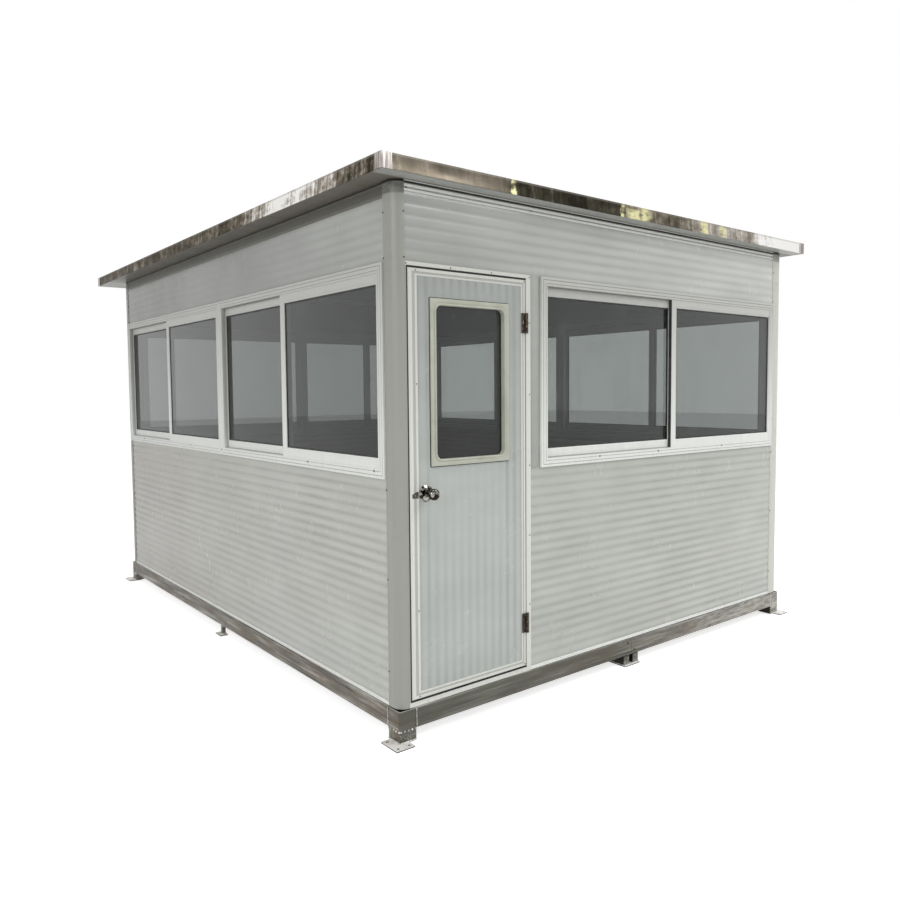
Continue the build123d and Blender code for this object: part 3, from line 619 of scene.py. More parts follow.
class Stock(Enum):
    """Every finish on the booth."""

    PANEL = PanelPaint("ribbed_panel_paint", "wall_panel", (0.535, 0.55, 0.51), (0.41, 0.39, 0.345), 0.5, 0.9,
                       door_wall_light=(0.93, 1.0))
    # Painted shade: the upper walls are a darker copy of the panel paint, darkening further towards the back, with
    # painted light towards the right end of the door wall.
    UPPER = PanelPaint("upper_panel_paint_shaded", "wall_panel", (0.42, 0.435, 0.41), (0.12, 0.12, 0.106), 0.34, 1.0,
                       (-2.2, 1.2), (0.95, 1.36))
    # Painted shade: deep=0.70 darkens the door leaf towards its top.
    LEAF = PanelPaint("door_panel_paint", "wall_panel", (0.475, 0.505, 0.48), (0.48, 0.50, 0.465), 0.5, 0.3, deep=0.70)
    PIER = PanelPaint("pier_paint", "wall_panel", (0.38, 0.395, 0.37), (0.30, 0.30, 0.28), 0.34, 0.3)
    # Painted light and shade on the posts: much lighter towards the right end of the door wall, darker towards the
    # roof, and a dark band at their heads.
    POST = SatinPaint("post_coating", "post_aluminium", (0.355, 0.362, 0.326), (0.22, 0.225, 0.195), 0.40, 0.36, 0.35,
                      (1.0, 1.9), head=0.85)
    # Painted shade: the window frames darken towards the roof and in their grooves and reveals, and are a little
    # lighter towards the right end of the door wall.
    WHITE = SatinPaint("window_white", "window_aluminium", (0.84, 0.86, 0.825), (0.30, 0.30, 0.27), 0.22, 0.32, 0.62,
                       (1.0, 1.05), 0.5)
    # Painted shade in the door edging's grooves.
    EDGING = SatinPaint("door_white", "window_aluminium", (0.77, 0.78, 0.725), (0.30, 0.30, 0.27), 0.25, 0.32, 0.30,
                        groove=0.38)
    # Painted shade in the top channels' grooves.
    TRIM = SatinPaint("trim_white", "white_trim", (0.88, 0.895, 0.86), (0.28, 0.28, 0.25), 0.30, 0.34, groove=0.5)
    # Painted shade: the side walls' channels and slips are a dark copy of the white trim, for the shade of the roof's
    # side overhang.
    SIDE_TRIM = SatinPaint("side_trim_painted_shade", "white_trim", (0.125, 0.123, 0.098), (0.08, 0.076, 0.06), 0.5, 0.42)
    SOFFIT = RoofCoat("roof_panel_coat", "roof_panel")
    TOP = SatinPaint("roof_top_coat", "roof_panel", (0.34, 0.345, 0.33), (0.20, 0.19, 0.16), 0.5, 0.36)
    STEEL = StainedSteel("stained_tube", "base_steel")
    # Painted light: the foot plates are a pale copy of the stained steel, as if in full light, with painted shade round
    # their lower edges.
    PLATE = StainedSteel("foot_plate_steel_lit", "base_steel", (0.68, 0.67, 0.64), (0.92, 0.91, 0.89), (0.97, 0.96, 0.94),
                         (0.70, 0.67, 0.63), 0.12, 0.0, 0.9)
    # Painted reflections on the polished fascia.
    MIRROR_END = PaintedReflectionSteel("fascia_ends_painted_reflections", "mirror_steel", 0,
                             ((-1.70, 0.40), (-1.02, 0.36), (-0.97, 0.10), (-0.30, 0.10), (-0.05, 0.48), (0.30, 0.38),
                              (0.78, 0.78), (1.05, 0.55), (1.42, 1.20), (1.75, 1.25)),
                             ((-1.0, 0.022), (-0.2, 0.022), (-0.06, 0.13), (0.56, 0.05), (0.76, 0.05)), 0.74, 0.35)
    MIRROR_SIDE = PaintedReflectionSteel("fascia_sides_painted_reflections", "mirror_steel", 1,
                              ((-2.25, 0.34), (-1.96, 0.36), (-1.82, 0.62), (-1.28, 1.02), (-1.06, 0.74), (-0.76, 0.36),
                               (0.35, 0.26), (0.9, 0.28), (2.2, 0.26)), contrast=1.3)
    COVER = Mottled("corner_cover_steel", "mirror_steel", (0.20, 0.175, 0.16), (0.54, 0.505, 0.48),
                    Grain(150.0, 0.42, 0.60, 1.0, 3.0, 0.7, (1, 1, 0.03)), (0.22, 0.38), (0.2, 0.0003), 0.8,
                    Grain(12.0, 0.5, 0.7, 0.3, 2.0), (0.70, 0.67, 0.64))
    CREAM = Mottled("cream_moulding", "cream_moulding", (0.49, 0.505, 0.42), (0.28, 0.285, 0.215),
                    Grain(9.0, 0.45, 0.75, 0.4, 4.0, 0.6), (0.36, 0.5), (0.12, 0.0003), fine=Grain(380.0, 0, 1, 1, 2.0))
    GLASS = TintedPane("tinted_pane", "clear_glass")
    # Black rubber for the seals, also used for black strips of painted shade at the post feet, under the tracks, on the
    # door's lock edge and round the door's outer moulding.
    BLACK = Mottled("black_seal_and_painted_shade", "black_rubber", (0.018, 0.019, 0.018), (0.075, 0.075, 0.07),
                    Grain(34.0, 0.45, 0.75, 1.0, 4.0, 0.6), (0.55, 0.8), (0.2, 0.0005))
    # Near-black, for painted shade in the door's gaps and for the sealant bead over the walls.
    GAP = Mottled("gap_shade_and_sealant", "black_rubber", (0.006, 0.006, 0.006), (0.018, 0.018, 0.017),
                  Grain(34.0, 0.45, 0.75, 1.0, 4.0, 0.6), (0.55, 0.8), (0.2, 0.0005))
    HINGE = RustySteel("hinge_steel", "hinge_steel")
    CHROME = Polished("polished_plating", "polished_steel")
    BOARD = Mottled("floor_sheet", "floor_board", (0.10, 0.09, 0.078), (0.20, 0.185, 0.16),
                    Grain(1.0, 0.35, 0.65, 1.0, 5.0, 0.6, (30, 1.6, 1)), (0.5, 0.75), (0.15, 0.001),
                    marks=Grain(3.0, 0.5, 0.75, 0.5, 5.0, 0.65), marked=(0.27, 0.26, 0.24), rubbed=True)
    WELD = Mottled("weld_metal", "base_steel", (0.30, 0.28, 0.25), (0.80, 0.79, 0.75),
                   Grain(160.0, 0.38, 0.62, 1.0, 3.0, 0.6), (0.3, 0.5), (0.15, 0.0004), 0.85)
    SCREW = Mottled("screw_metal", "hinge_steel", (0.035, 0.033, 0.03), (0.16, 0.155, 0.145),
                    Grain(220.0, 0.38, 0.62, 1.0, 3.0, 0.6), (0.4, 0.6), (0.15, 0.0004), 0.85)


# --- meshes --------------------------------------------------------------
@dataclass(frozen=True)
class Extent:
    """A box between two corners."""

    low: Vector
    high: Vector

    @classmethod
    def around(cls, points: Iterable[Vector]) -> "Extent":
        """Gives the box round some points."""
        rows = list(zip(*points))
        return cls(Vector([min(row) for row in rows]), Vector([max(row) for row in rows]))

    @property
    def size(self) -> Vector:
        """Gives the box's sizes."""
        return self.high - self.low

    @property
    def centre(self) -> Vector:
        """Gives the box's middle."""
        return (self.low + self.high) / 2

    def margins(self, inner: "Extent") -> tuple[float, float, float, float]:
        """Gives the widths of a border round a smaller box: left, right, below and above."""
        return (inner.low.x - self.low.x, self.high.x - inner.high.x,
                inner.low.z - self.low.z, self.high.z - inner.high.z)

    def seen_from(self, wall: "Wall") -> "Extent":
        """Gives the same box in a wall's coordinates, with its corners in order."""
        back = wall.matrix.inverted()
        return Extent.around((back @ self.low, back @ self.high))


def framed(*columns: Sequence[float]) -> Matrix:
    """Gives a matrix of three directions and a place."""
    return Matrix([[column[row] for column in columns] for row in range(3)] + [[0, 0, 0, 1]])


@dataclass(frozen=True)
class Wall:
    """One wall's coordinates."""

    origin: Vector
    along: Vector
    inward: Vector

    @property
    def matrix(self) -> Matrix:
        """Gives the turn and shift from the wall to the booth."""
        return framed(self.along, self.inward, Vector((0, 0, 1)), self.origin)

    def spot(self, u: float, v: float, z: float) -> Spot:
        """Gives a point in the booth's coordinates and the direction out of the wall."""
        return self.matrix @ Vector((u, v, z)), self.matrix.to_3x3() @ Vector((0, -1, 0))


def linked(title: str, data: bpy.types.ID) -> bpy.types.Object:
    """Makes an object of some data and links it to the scene."""
    item = bpy.data.objects.new(title, data)
    bpy.context.scene.collection.objects.link(item)
    return item


def plain(item: bpy.types.Object) -> bpy.types.Mesh:
    """Gives what an object's modifiers make of it, as a plain mesh."""
    bpy.context.view_layer.update()
    graph = bpy.context.evaluated_depsgraph_get()
    return bpy.data.meshes.new_from_object(item.evaluated_get(graph), preserve_all_data_layers=True, depsgraph=graph)


def drawn(first: float, second: float, *points: Pair) -> list[Pair]:
    """Gives an outline in metres; its points are millimetres from a first and a second start in metres."""
    return [(first + a * MM, second + b * MM) for a, b in points]


def in_metres(*rows: Sequence[float]) -> list[tuple[float, ...]]:
    """Gives rows of millimetres in metres."""
    return [tuple(value * MM for value in row) for row in rows]


def circle(radius: float, parts: int) -> list[Pair]:
    """Gives evenly spaced points on a circle."""
    angles = [math.tau * k / parts for k in range(parts)]
    return [(radius * math.cos(angle), radius * math.sin(angle)) for angle in angles]


def rounded(width: float, height: float, radius: float, steps: int = 8) -> list[Pair]:
    """Gives a rectangle with round corners, about its centre.

    Args:
        width: Full width.
        height: Full height.
        radius: Corner radius.
        steps: Facets in each corner.

    Returns:
        Its points, in order.
    """
    points = []
    for quarter, (sx, sz) in enumerate(((1, 1), (-1, 1), (-1, -1), (1, -1))):
        cx, cz = sx * (width / 2 - radius), sz * (height / 2 - radius)
        for k in range(steps + 1):
            angle = math.pi / 2 * (quarter + k / steps)
            points.append((cx + radius * math.cos(angle), cz + radius * math.sin(angle)))
    return points


class Shape:
    """Points and faces of a piece in the making."""

    def __init__(self, place: Matrix | None = None) -> None:
        """Starts an empty shape whose points are put where the matrix says."""
        self.place = place or Matrix.Identity(4)
        self.points: list[Vector] = []
        self.faces: list[tuple[int, ...]] = []

    def loops(self, rows: Sequence[Sequence[Sequence[float]]], wrap: bool = False) -> "Shape":
        """Joins closed loops of equal length, one after the other.

        Args:
            rows: The loops.
            wrap: True joins the last loop to the first; else both ends are capped.

        Returns:
            The shape.
        """
        start, count = len(self.points), len(rows[0])
        for row in rows:
            self.points += [self.place @ Vector(point) for point in row]
        for index in range(len(rows) if wrap else len(rows) - 1):
            near = start + index * count
            far = start + (index + 1) % len(rows) * count
            for k in range(count):
                n = (k + 1) % count
                self.faces.append((near + k, near + n, far + n, far + k))
        if not wrap:
            self.faces.append(tuple(start + k for k in range(count)))
            self.faces.append(tuple(start + (len(rows) - 1) * count + k for k in reversed(range(count))))
        return self

    def bar(self, outline: Sequence[Pair], run: Run, start: float, end: float) -> "Shape":
        """Draws a closed outline, given in the two other coordinates, out into a straight bar."""
        at = run.value
        return self.loops([[(*point[:at], reach, *point[at:]) for point in outline] for reach in (start, end)])

    def block(self, low: Sequence[float], high: Sequence[float]) -> "Shape":
        """Adds a plain block, which settle may bevel later."""
        corners = [(low[0], low[1]), (high[0], low[1]), (high[0], high[1]), (low[0], high[1])]
        return self.bar(corners, Run.UPRIGHT, low[2], high[2])

    def border(self, extent: Extent, widths: Sequence[float], section: Sequence[Triple]) -> "Shape":
        """Runs one section round a rectangle, with mitred corners.

        Args:
            extent: The rectangle, in u and z; its low v is the section's zero.
            widths: Face widths on the left, right, bottom and top.
            section: Points (share, shift, depth): share of the face width, plus a shift, and the depth,
                both in millimetres.

        Returns:
            The shape.
        """
        rows = []
        for share, shift, depth in section:
            left, right, bottom, top = (share * width + shift * MM * min(1.0, width / 0.030) for width in widths)
            u0, u1 = extent.low.x + left, extent.high.x - right
            z0, z1 = extent.low.z + bottom, extent.high.z - top
            v = extent.low.y + depth * MM
            rows.append([(u0, v, z0), (u1, v, z0), (u1, v, z1), (u0, v, z1)])
        return self.loops(rows, wrap=True)

    def turned(self, outline: Sequence[Pair], centre: Vector, outward: float, parts: int = 40,
               wrap: bool = False) -> "Shape":
        """Turns an outline about a line along the depth.

        Args:
            outline: Points (radius, reach) from the inside of the base to the middle of the tip.
            centre: u, v and z of the base.
            outward: 1 or -1, the direction of reach along v.
            parts: Number of facets.
            wrap: True for a ring, whose outline is closed.

        Returns:
            The shape.
        """
        x, y, z = centre
        return self.loops([[(x + a, y + outward * reach, z + b) for a, b in circle(radius, parts)]
                           for radius, reach in outline], wrap)

    def mesh(self, title: str) -> bpy.types.Mesh:
        """Makes the mesh, with its faces pointing outwards.

        Args:
            title: Its name.

        Returns:
            The mesh.
        """
        mesh = bpy.data.meshes.new(title)
        mesh.from_pydata([tuple(p) for p in self.points], [], self.faces)
        tidy = bmesh.new()
        tidy.from_mesh(mesh)
        bmesh.ops.remove_doubles(tidy, verts=tidy.verts, dist=1e-6)
        bmesh.ops.recalc_face_normals(tidy, faces=tidy.faces)
        tidy.to_mesh(mesh)
        tidy.free()
        return mesh


def merged(meshes: Iterable[tuple[bpy.types.Mesh, Matrix]], title: str) -> bpy.types.Mesh:
    """Joins meshes, each put in its place.

    Args:
        meshes: Meshes and their places; they are used up.
        title: Name of the result.

    Returns:
        One mesh, with the attributes of its parts.
    """
    bench = bmesh.new()
    for mesh, place in meshes:
        mesh.transform(place)
        bench.from_mesh(mesh)
        bpy.data.meshes.remove(mesh)
    result = bpy.data.meshes.new(title)
    bench.to_mesh(result)
    bench.free()
    return result


# --- geometry recipes ----------------------------------------------------
class Recipe:
    """A Geometry Nodes tree with named inputs, run to a plain mesh."""

    def __init__(self, title: str, **inputs: str) -> None:
        """Starts the tree.

        Args:
            title: Its name.
            **inputs: The kind of socket for each input, named with underscores for spaces.
        """
        self.tree = bpy.data.node_groups.new(title, "GeometryNodeTree")
        self.keys = {}
        for name, kind in inputs.items():
            item = self.tree.interface.new_socket(name.replace("_", " "), in_out="INPUT",
                                                  socket_type="NodeSocket" + kind)
            self.keys[name] = item.identifier
        self.tree.interface.new_socket("Geometry", in_out="OUTPUT", socket_type="NodeSocketGeometry")
        self.graph = Graph(self.tree)
        self.given = dict(zip(inputs, self.graph.add("NodeGroupInput").outputs))

    def close(self, shape: Socket) -> "Recipe":
        """Ends the tree in plain geometry with a material.

        Args:
            shape: The geometry so far.

        Returns:
            The recipe.
        """
        real = self.graph.out("GeometryNodeRealizeInstances", {0: shape})
        dressed = self.graph.out("GeometryNodeSetMaterial", {0: real, "Material": self.given["Material"]})
        self.graph.add("NodeGroupOutput", {0: dressed})
        return self

    def run(self, source: bpy.types.Mesh | None = None, **values: object) -> bpy.types.Mesh:
        """Runs the tree once.

        Args:
            source: The mesh that the tree starts from.
            **values: A value for each named input.

        Returns:
            A plain mesh.
        """
        holder = linked("holder", source or bpy.data.meshes.new("holder"))
        modifier = holder.modifiers.new("recipe", "NODES")
        modifier.node_group = self.tree
        for name, value in values.items():
            modifier[self.keys[name]] = value
        mesh = plain(holder)
        holder.modifiers.remove(modifier)
        bpy.data.objects.remove(holder)
        return mesh


def ribbed_recipe() -> Recipe:
    """Makes the tree for a ribbed panel: a closed slab whose two faces dip in even waves."""
    recipe = Recipe("Ribbed panel", Length="Float", Thickness="Float", Height="Float", Ribs="Int", Rib_depth="Float",
                    Material="Material")
    graph, given = recipe.graph, recipe.given
    rows = graph.sum("ADD", graph.times(given["Ribs"], 12.0), 1.0)
    size = graph.out("ShaderNodeCombineXYZ", {0: given["Length"], 1: given["Thickness"], 2: given["Height"]})
    slab = graph.out("GeometryNodeMeshCube", {"Size": size, "Vertices X": 2, "Vertices Y": 2, "Vertices Z": rows})
    _, depth, rise = graph.axes(graph.out("GeometryNodeInputPosition"))
    share = graph.sum("ADD", graph.sum("DIVIDE", rise, given["Height"]), 0.5)
    wave = graph.sum("COSINE", graph.times(graph.times(share, given["Ribs"]), math.tau))
    valley = graph.sum("POWER", graph.sum("MULTIPLY_ADD", wave, 0.5, 0.5), 1.6)
    sink = graph.times(graph.times(valley, given["Rib_depth"]), graph.sum("SIGN", depth))
    shift = graph.out("ShaderNodeCombineXYZ", {1: graph.times(sink, -1.0)})
    waved = graph.out("GeometryNodeSetPosition", {0: slab, "Offset": shift})
    kept = graph.out("GeometryNodeStoreNamedAttribute", {0: waved, "Name": "valley", "Value": valley},
                     data_type="FLOAT", domain="POINT")
    corner = graph.sum("GREATER_THAN", graph.out("GeometryNodeInputMeshEdgeAngle"), 0.9)
    smooth = graph.out("GeometryNodeSetShadeSmooth", {0: kept, "Shade Smooth": True}, domain="FACE")
    return recipe.close(graph.out("GeometryNodeSetShadeSmooth", {0: smooth, 1: corner, "Shade Smooth": False},
                                  domain="EDGE"))


def fastener_recipe() -> Recipe:
    """Makes the tree that sets one head on each point, facing as the point says and turned at random."""
    recipe = Recipe("Fasteners", Geometry="Geometry", Head="Object", Seed="Int", Material="Material")
    graph, given = recipe.graph, recipe.given
    head = graph.add("GeometryNodeObjectInfo", {"Object": given["Head"]}).outputs["Geometry"]
    facing = graph.out("GeometryNodeInputNamedAttribute", {"Name": "facing"}, data_type="FLOAT_VECTOR")
    aim = graph.out("FunctionNodeAlignRotationToVector", {"Vector": facing}, axis="Z")
    turn = graph.add("FunctionNodeRandomValue", {2: 0.0, 3: math.tau, "Seed": given["Seed"]},
                     data_type="FLOAT").outputs[1]
    spin = graph.out("FunctionNodeAxisAngleToRotation", {"Axis": (0.0, 0.0, 1.0), "Angle": turn})
    both = graph.out("FunctionNodeRotateRotation", {0: aim, 1: spin}, rotation_space="LOCAL")
    points = graph.out("GeometryNodeMeshToPoints", {0: given["Geometry"]})
    return recipe.close(graph.out("GeometryNodeInstanceOnPoints", {0: points, "Instance": head, "Rotation": both}))


def bead_recipe() -> Recipe:
    """Makes the tree for a weld: overlapping drops of uneven size along the edges of a path."""
    recipe = Recipe("Weld bead", Geometry="Geometry", Radius="Float", Spacing="Float", Seed="Int", Material="Material")
    graph, given = recipe.graph, recipe.given
    curve = graph.out("GeometryNodeMeshToCurve", {0: given["Geometry"]})
    even = graph.out("GeometryNodeResampleCurve", {0: curve, "Length": given["Spacing"]}, mode="LENGTH")
    drop = graph.out("GeometryNodeMeshUVSphere", {"Segments": 8, "Rings": 5, "Radius": given["Radius"]})
    size = graph.out("FunctionNodeRandomValue", {0: (0.75,) * 3, 1: (1.25,) * 3, "Seed": given["Seed"]},
                     data_type="FLOAT_VECTOR")
    drops = graph.out("GeometryNodeInstanceOnPoints", {0: even, "Instance": drop, "Scale": size})
    return recipe.close(graph.out("GeometryNodeSetShadeSmooth", {0: drops}))


# --- the bench -----------------------------------------------------------
class Bench:
    """Holds the frame, the walls, the finishes and the recipes, and settles each piece."""

    def __init__(self, frame: dict) -> None:
        """Sets the walls out and makes the finishes, the recipes and the fastener heads.
        """
        self.frame = frame
        self.stock = {kind: kind.value.make() for kind in Stock}
        self.ribbed, self.fasteners, self.beads = ribbed_recipe(), fastener_recipe(), bead_recipe()
        self.heads = [self.head("screw_head", 12), self.head("bolt_head", 6)]
        sides, ends = self.extent("base_beams_sides"), self.extent("base_beams_ends")
        x0, x1, y0, y1 = sides.low.x, sides.high.x, ends.low.y, ends.high.y
        self.length = sides.size.x
        self.walls = {
            Side.FRONT: Wall(Vector((x0, y0, 0)), Vector((1, 0, 0)), Vector((0, 1, 0))),
            Side.RIGHT: Wall(Vector((x1, y0, 0)), Vector((0, 1, 0)), Vector((-1, 0, 0))),
            Side.BACK: Wall(Vector((x1, y1, 0)), Vector((-1, 0, 0)), Vector((0, -1, 0))),
            Side.LEFT: Wall(Vector((x0, y1, 0)), Vector((0, -1, 0)), Vector((1, 0, 0))),
        }
        self.front = self.walls[Side.FRONT]

    @staticmethod
    def head(title: str, parts: int) -> bpy.types.Object:
        """Makes a fastener head with a round recess.

        Args:
            title: Its name.
            parts: Number of facets.

        Returns:
            The head, facing +Z.
        """
        section = ((1.0, 0.0), (1.0, 0.22), (0.82, 0.45), (0.42, 0.55), (0.34, 0.30))
        rows = [[(a, b, height) for a, b in circle(radius, parts)] for radius, height in section]
        return linked(title, Shape(Matrix.Scale(HEAD_RADIUS, 4)).loops(rows).mesh(title))

    def extent(self, *nodes: str) -> Extent:
        """Gives the box round nodes at rest."""
        return Extent.around(Vector(corner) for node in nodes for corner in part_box(node))

    def door_extent(self, *nodes: str) -> Extent:
        """Gives the box round nodes at rest, in the door wall's coordinates."""
        return self.extent(*nodes).seen_from(self.front)

    def solids(self, node: str) -> list[Extent]:
        """Finds the solids in a node.

        Args:
            node: The node's name.

        Returns:
            The box of each solid, in order of place.
        """
        bench = bmesh.new()
        bench.from_mesh(self.frame["nodes"][node].data)
        bmesh.ops.remove_doubles(bench, verts=bench.verts, dist=SAME_POINT)
        left = set(bench.verts)
        boxes = []
        while left:
            queue, seen = [next(iter(left))], set()
            while queue:
                vert = queue.pop()
                if vert not in seen:
                    seen.add(vert)
                    queue += [edge.other_vert(vert) for edge in vert.link_edges]
            left -= seen
            boxes.append(Extent.around(vert.co for vert in seen))
        bench.free()
        return sorted(boxes, key=lambda b: tuple(round(c, 4) for c in (*b.low, *b.high)))

    def on_wall(self, node: str, side: Side = Side.FRONT) -> list[Extent]:
        """Gives a node's solids near one wall.

        Args:
            node: The node's name.
            side: The wall.

        Returns:
            Their boxes in the wall's coordinates, from the left end of the wall.
        """
        seen = [box.seen_from(self.walls[side]) for box in self.solids(node)]
        near = [box for box in seen if NEAR_WALL[0] < box.low.y and box.high.y < NEAR_WALL[1]]
        return sorted(near, key=lambda b: (b.low.x, b.low.z))

    def straight(self, node: str, sides: Iterable[Side] = Side) -> Iterator[tuple[Wall, Extent]]:
        """Gives a node's straight lengths: each one's wall, and its box in the wall's coordinates."""
        for side in sides:
            yield from ((self.walls[side], box) for box in self.on_wall(node, side) if box.size.y <= WALL_REACH)

    def settle(self, title: str, form: bpy.types.Mesh | Shape, stock: Stock, body: Body = Body.BOOTH,
               stands_for: Sequence[str] = (), bevel: float = 0.0, crease: float = 35.0) -> bpy.types.Object:
        """Makes a finished piece.

        Args:
            title: The piece's name.
            form: Its mesh or shape, in place.
            stock: Its finish.
            body: The body it rides on.
            stands_for: Nodes that it replaces.
            bevel: Width of its rounded edges.
            crease: Angle in degrees above which an edge stays sharp.

        Returns:
            The piece.
        """
        mesh = form.mesh(title) if isinstance(form, Shape) else form
        mesh.name = title
        mesh.materials.clear()
        mesh.materials.append(self.stock[stock])
        mesh.shade_smooth()
        mesh.set_sharp_from_angle(angle=math.radians(crease))
        piece = linked(title, mesh)
        if bevel:
            edge = piece.modifiers.new("edge", "BEVEL")
            edge.width, edge.segments, edge.limit_method = bevel, 2, "ANGLE"
            edge.angle_limit, edge.harden_normals = math.radians(crease), True
        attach(piece, body.value)
        if stands_for:
            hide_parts(*stands_for)
        LOG.info("%s: %d faces, on %s", title, len(mesh.polygons), body.value)
        return piece

    def replace(self, node: str, form: bpy.types.Mesh | Shape, stock: Stock, body: Body = Body.BOOTH,
                bevel: float = 0.0, crease: float = 35.0) -> bpy.types.Object:
        """Makes a finished piece that replaces one node; see settle."""
        return self.settle(node + "_piece", form, stock, body, [node], bevel, crease)

    def mark_groove_shade(self, shape: Shape, face: float, low: float, high: float) -> bpy.types.Mesh:
        """Marks the points in grooves and half-way into a reveal, where the paint is darkened as painted shade.

        Args:
            shape: The shape, in place.
            face: Depth of its face behind the beam face.
            low: Smallest depth of a groove, in millimetres.
            high: Greatest depth of a groove, in millimetres.

        Returns:
            Its mesh.
        """
        mesh = shape.mesh("grooved")
        ways = [wall.matrix.inverted() for wall in self.walls.values()]
        layer = mesh.attributes.new("valley", "FLOAT", "POINT")
        for item, vert in zip(layer.data, mesh.vertices):
            depth = min((way @ vert.co).y for way in ways) - face
            item.value = 1.0 if low * MM <= depth <= high * MM or 20 * MM < depth < 30 * MM else 0.0
        return mesh

    def dress(self, node: str, stock: Stock) -> None:
        """Gives a node that stays its finish."""
        for slot in self.frame["nodes"][node].material_slots:
            slot.material = self.stock[stock]
        LOG.info("%s: kept, finished in %s", node, stock.value.title)

    def soften(self, node: str, stock: Stock, bevel: float, body: Body = Body.BOOTH) -> bpy.types.Object:
        """Replaces a node with a merged copy whose edges are rounded.

        Args:
            node: The node's name.
            stock: The copy's finish.
            bevel: Width of the rounded edges, in millimetres.
            body: The body it rides on.

        Returns:
            The piece.
        """
        copy = self.frame["nodes"][node].data.copy()
        if "custom_normal" in copy.attributes:
            copy.attributes.remove(copy.attributes["custom_normal"])
        bench = bmesh.new()
        bench.from_mesh(copy)
        bmesh.ops.remove_doubles(bench, verts=bench.verts, dist=SAME_POINT)
        bmesh.ops.dissolve_limit(bench, angle_limit=math.radians(1), verts=bench.verts, edges=bench.edges)
        bench.to_mesh(copy)
        bench.free()
        return self.replace(node, copy, stock, body, bevel * MM)

    def screws(self, title: str, places: Sequence[Spot], radius: float, body: Body = Body.BOOTH,
               stock: Stock = Stock.SCREW, hexagon: bool = False) -> bpy.types.Object:
        """Sets fasteners.

        Args:
            title: The piece's name.
            places: Point and direction of each, in the booth's coordinates.
            radius: Head radius, in millimetres.
            body: The body they ride on.
            stock: Their finish.
            hexagon: True for bolts.

        Returns:
            The piece.
        """
        grow = radius * MM / HEAD_RADIUS
        points = bpy.data.meshes.new("points")
        points.from_pydata([tuple(Vector(p) / grow) for p, _ in places], [], [])
        facing = points.attributes.new("facing", "FLOAT_VECTOR", "POINT")
        for item, (_, way) in zip(facing.data, places):
            item.vector = Vector(way)
        mesh = self.fasteners.run(points, Head=self.heads[int(hexagon)], Seed=7, Material=self.stock[stock])
        mesh.transform(Matrix.Scale(grow, 4))
        return self.settle(title, mesh, stock, body)

    def weld(self, title: str, lines: Sequence[Sequence[Sequence[float]]], radius: float,
             spacing: float) -> bpy.types.Object:
        """Lays weld beads.

        Args:
            title: The piece's name.
            lines: Paths, each a list of points.
            radius: Radius of a drop, in millimetres.
            spacing: Distance between drops, in millimetres.

        Returns:
            The piece.
        """
        points, edges = [], []
        for line in lines:
            edges += [(len(points) + k, len(points) + k + 1) for k in range(len(line) - 1)]
            points += [tuple(p) for p in line]
        path = bpy.data.meshes.new("path")
        path.from_pydata(points, edges, [])
        mesh = self.beads.run(path, Radius=radius * MM, Spacing=spacing * MM, Seed=11, Material=self.stock[Stock.WELD])
        return self.settle(title, mesh, Stock.WELD)

    def panel(self, extent: Extent, ribs: int, depth: float, stock: Stock,
              upright: bool) -> tuple[bpy.types.Mesh, Matrix]:
        """Makes one ribbed panel.

        Args:
            extent: Its box, in a wall's coordinates.
            ribs: Number of ribs.
            depth: Depth of the valleys.
            stock: Its finish.
            upright: True if the ribs stand upright.

        Returns:
            The mesh and its place on the wall.
        """
        size = extent.size
        length, height = (size.z, size.x) if upright else (size.x, size.z)
        turn = Matrix.Rotation(math.pi / 2, 4, "Y") if upright else Matrix.Identity(4)
        mesh = self.ribbed.run(Length=length, Thickness=size.y, Height=height, Ribs=ribs, Rib_depth=depth,
                               Material=self.stock[stock])
        return mesh, Matrix.Translation(extent.centre) @ turn


@dataclass
class Assembly(ABC):
    """One sub-assembly, built on the bench."""

    bench: Bench

    @abstractmethod
    def build(self) -> None:
        """Builds its pieces."""


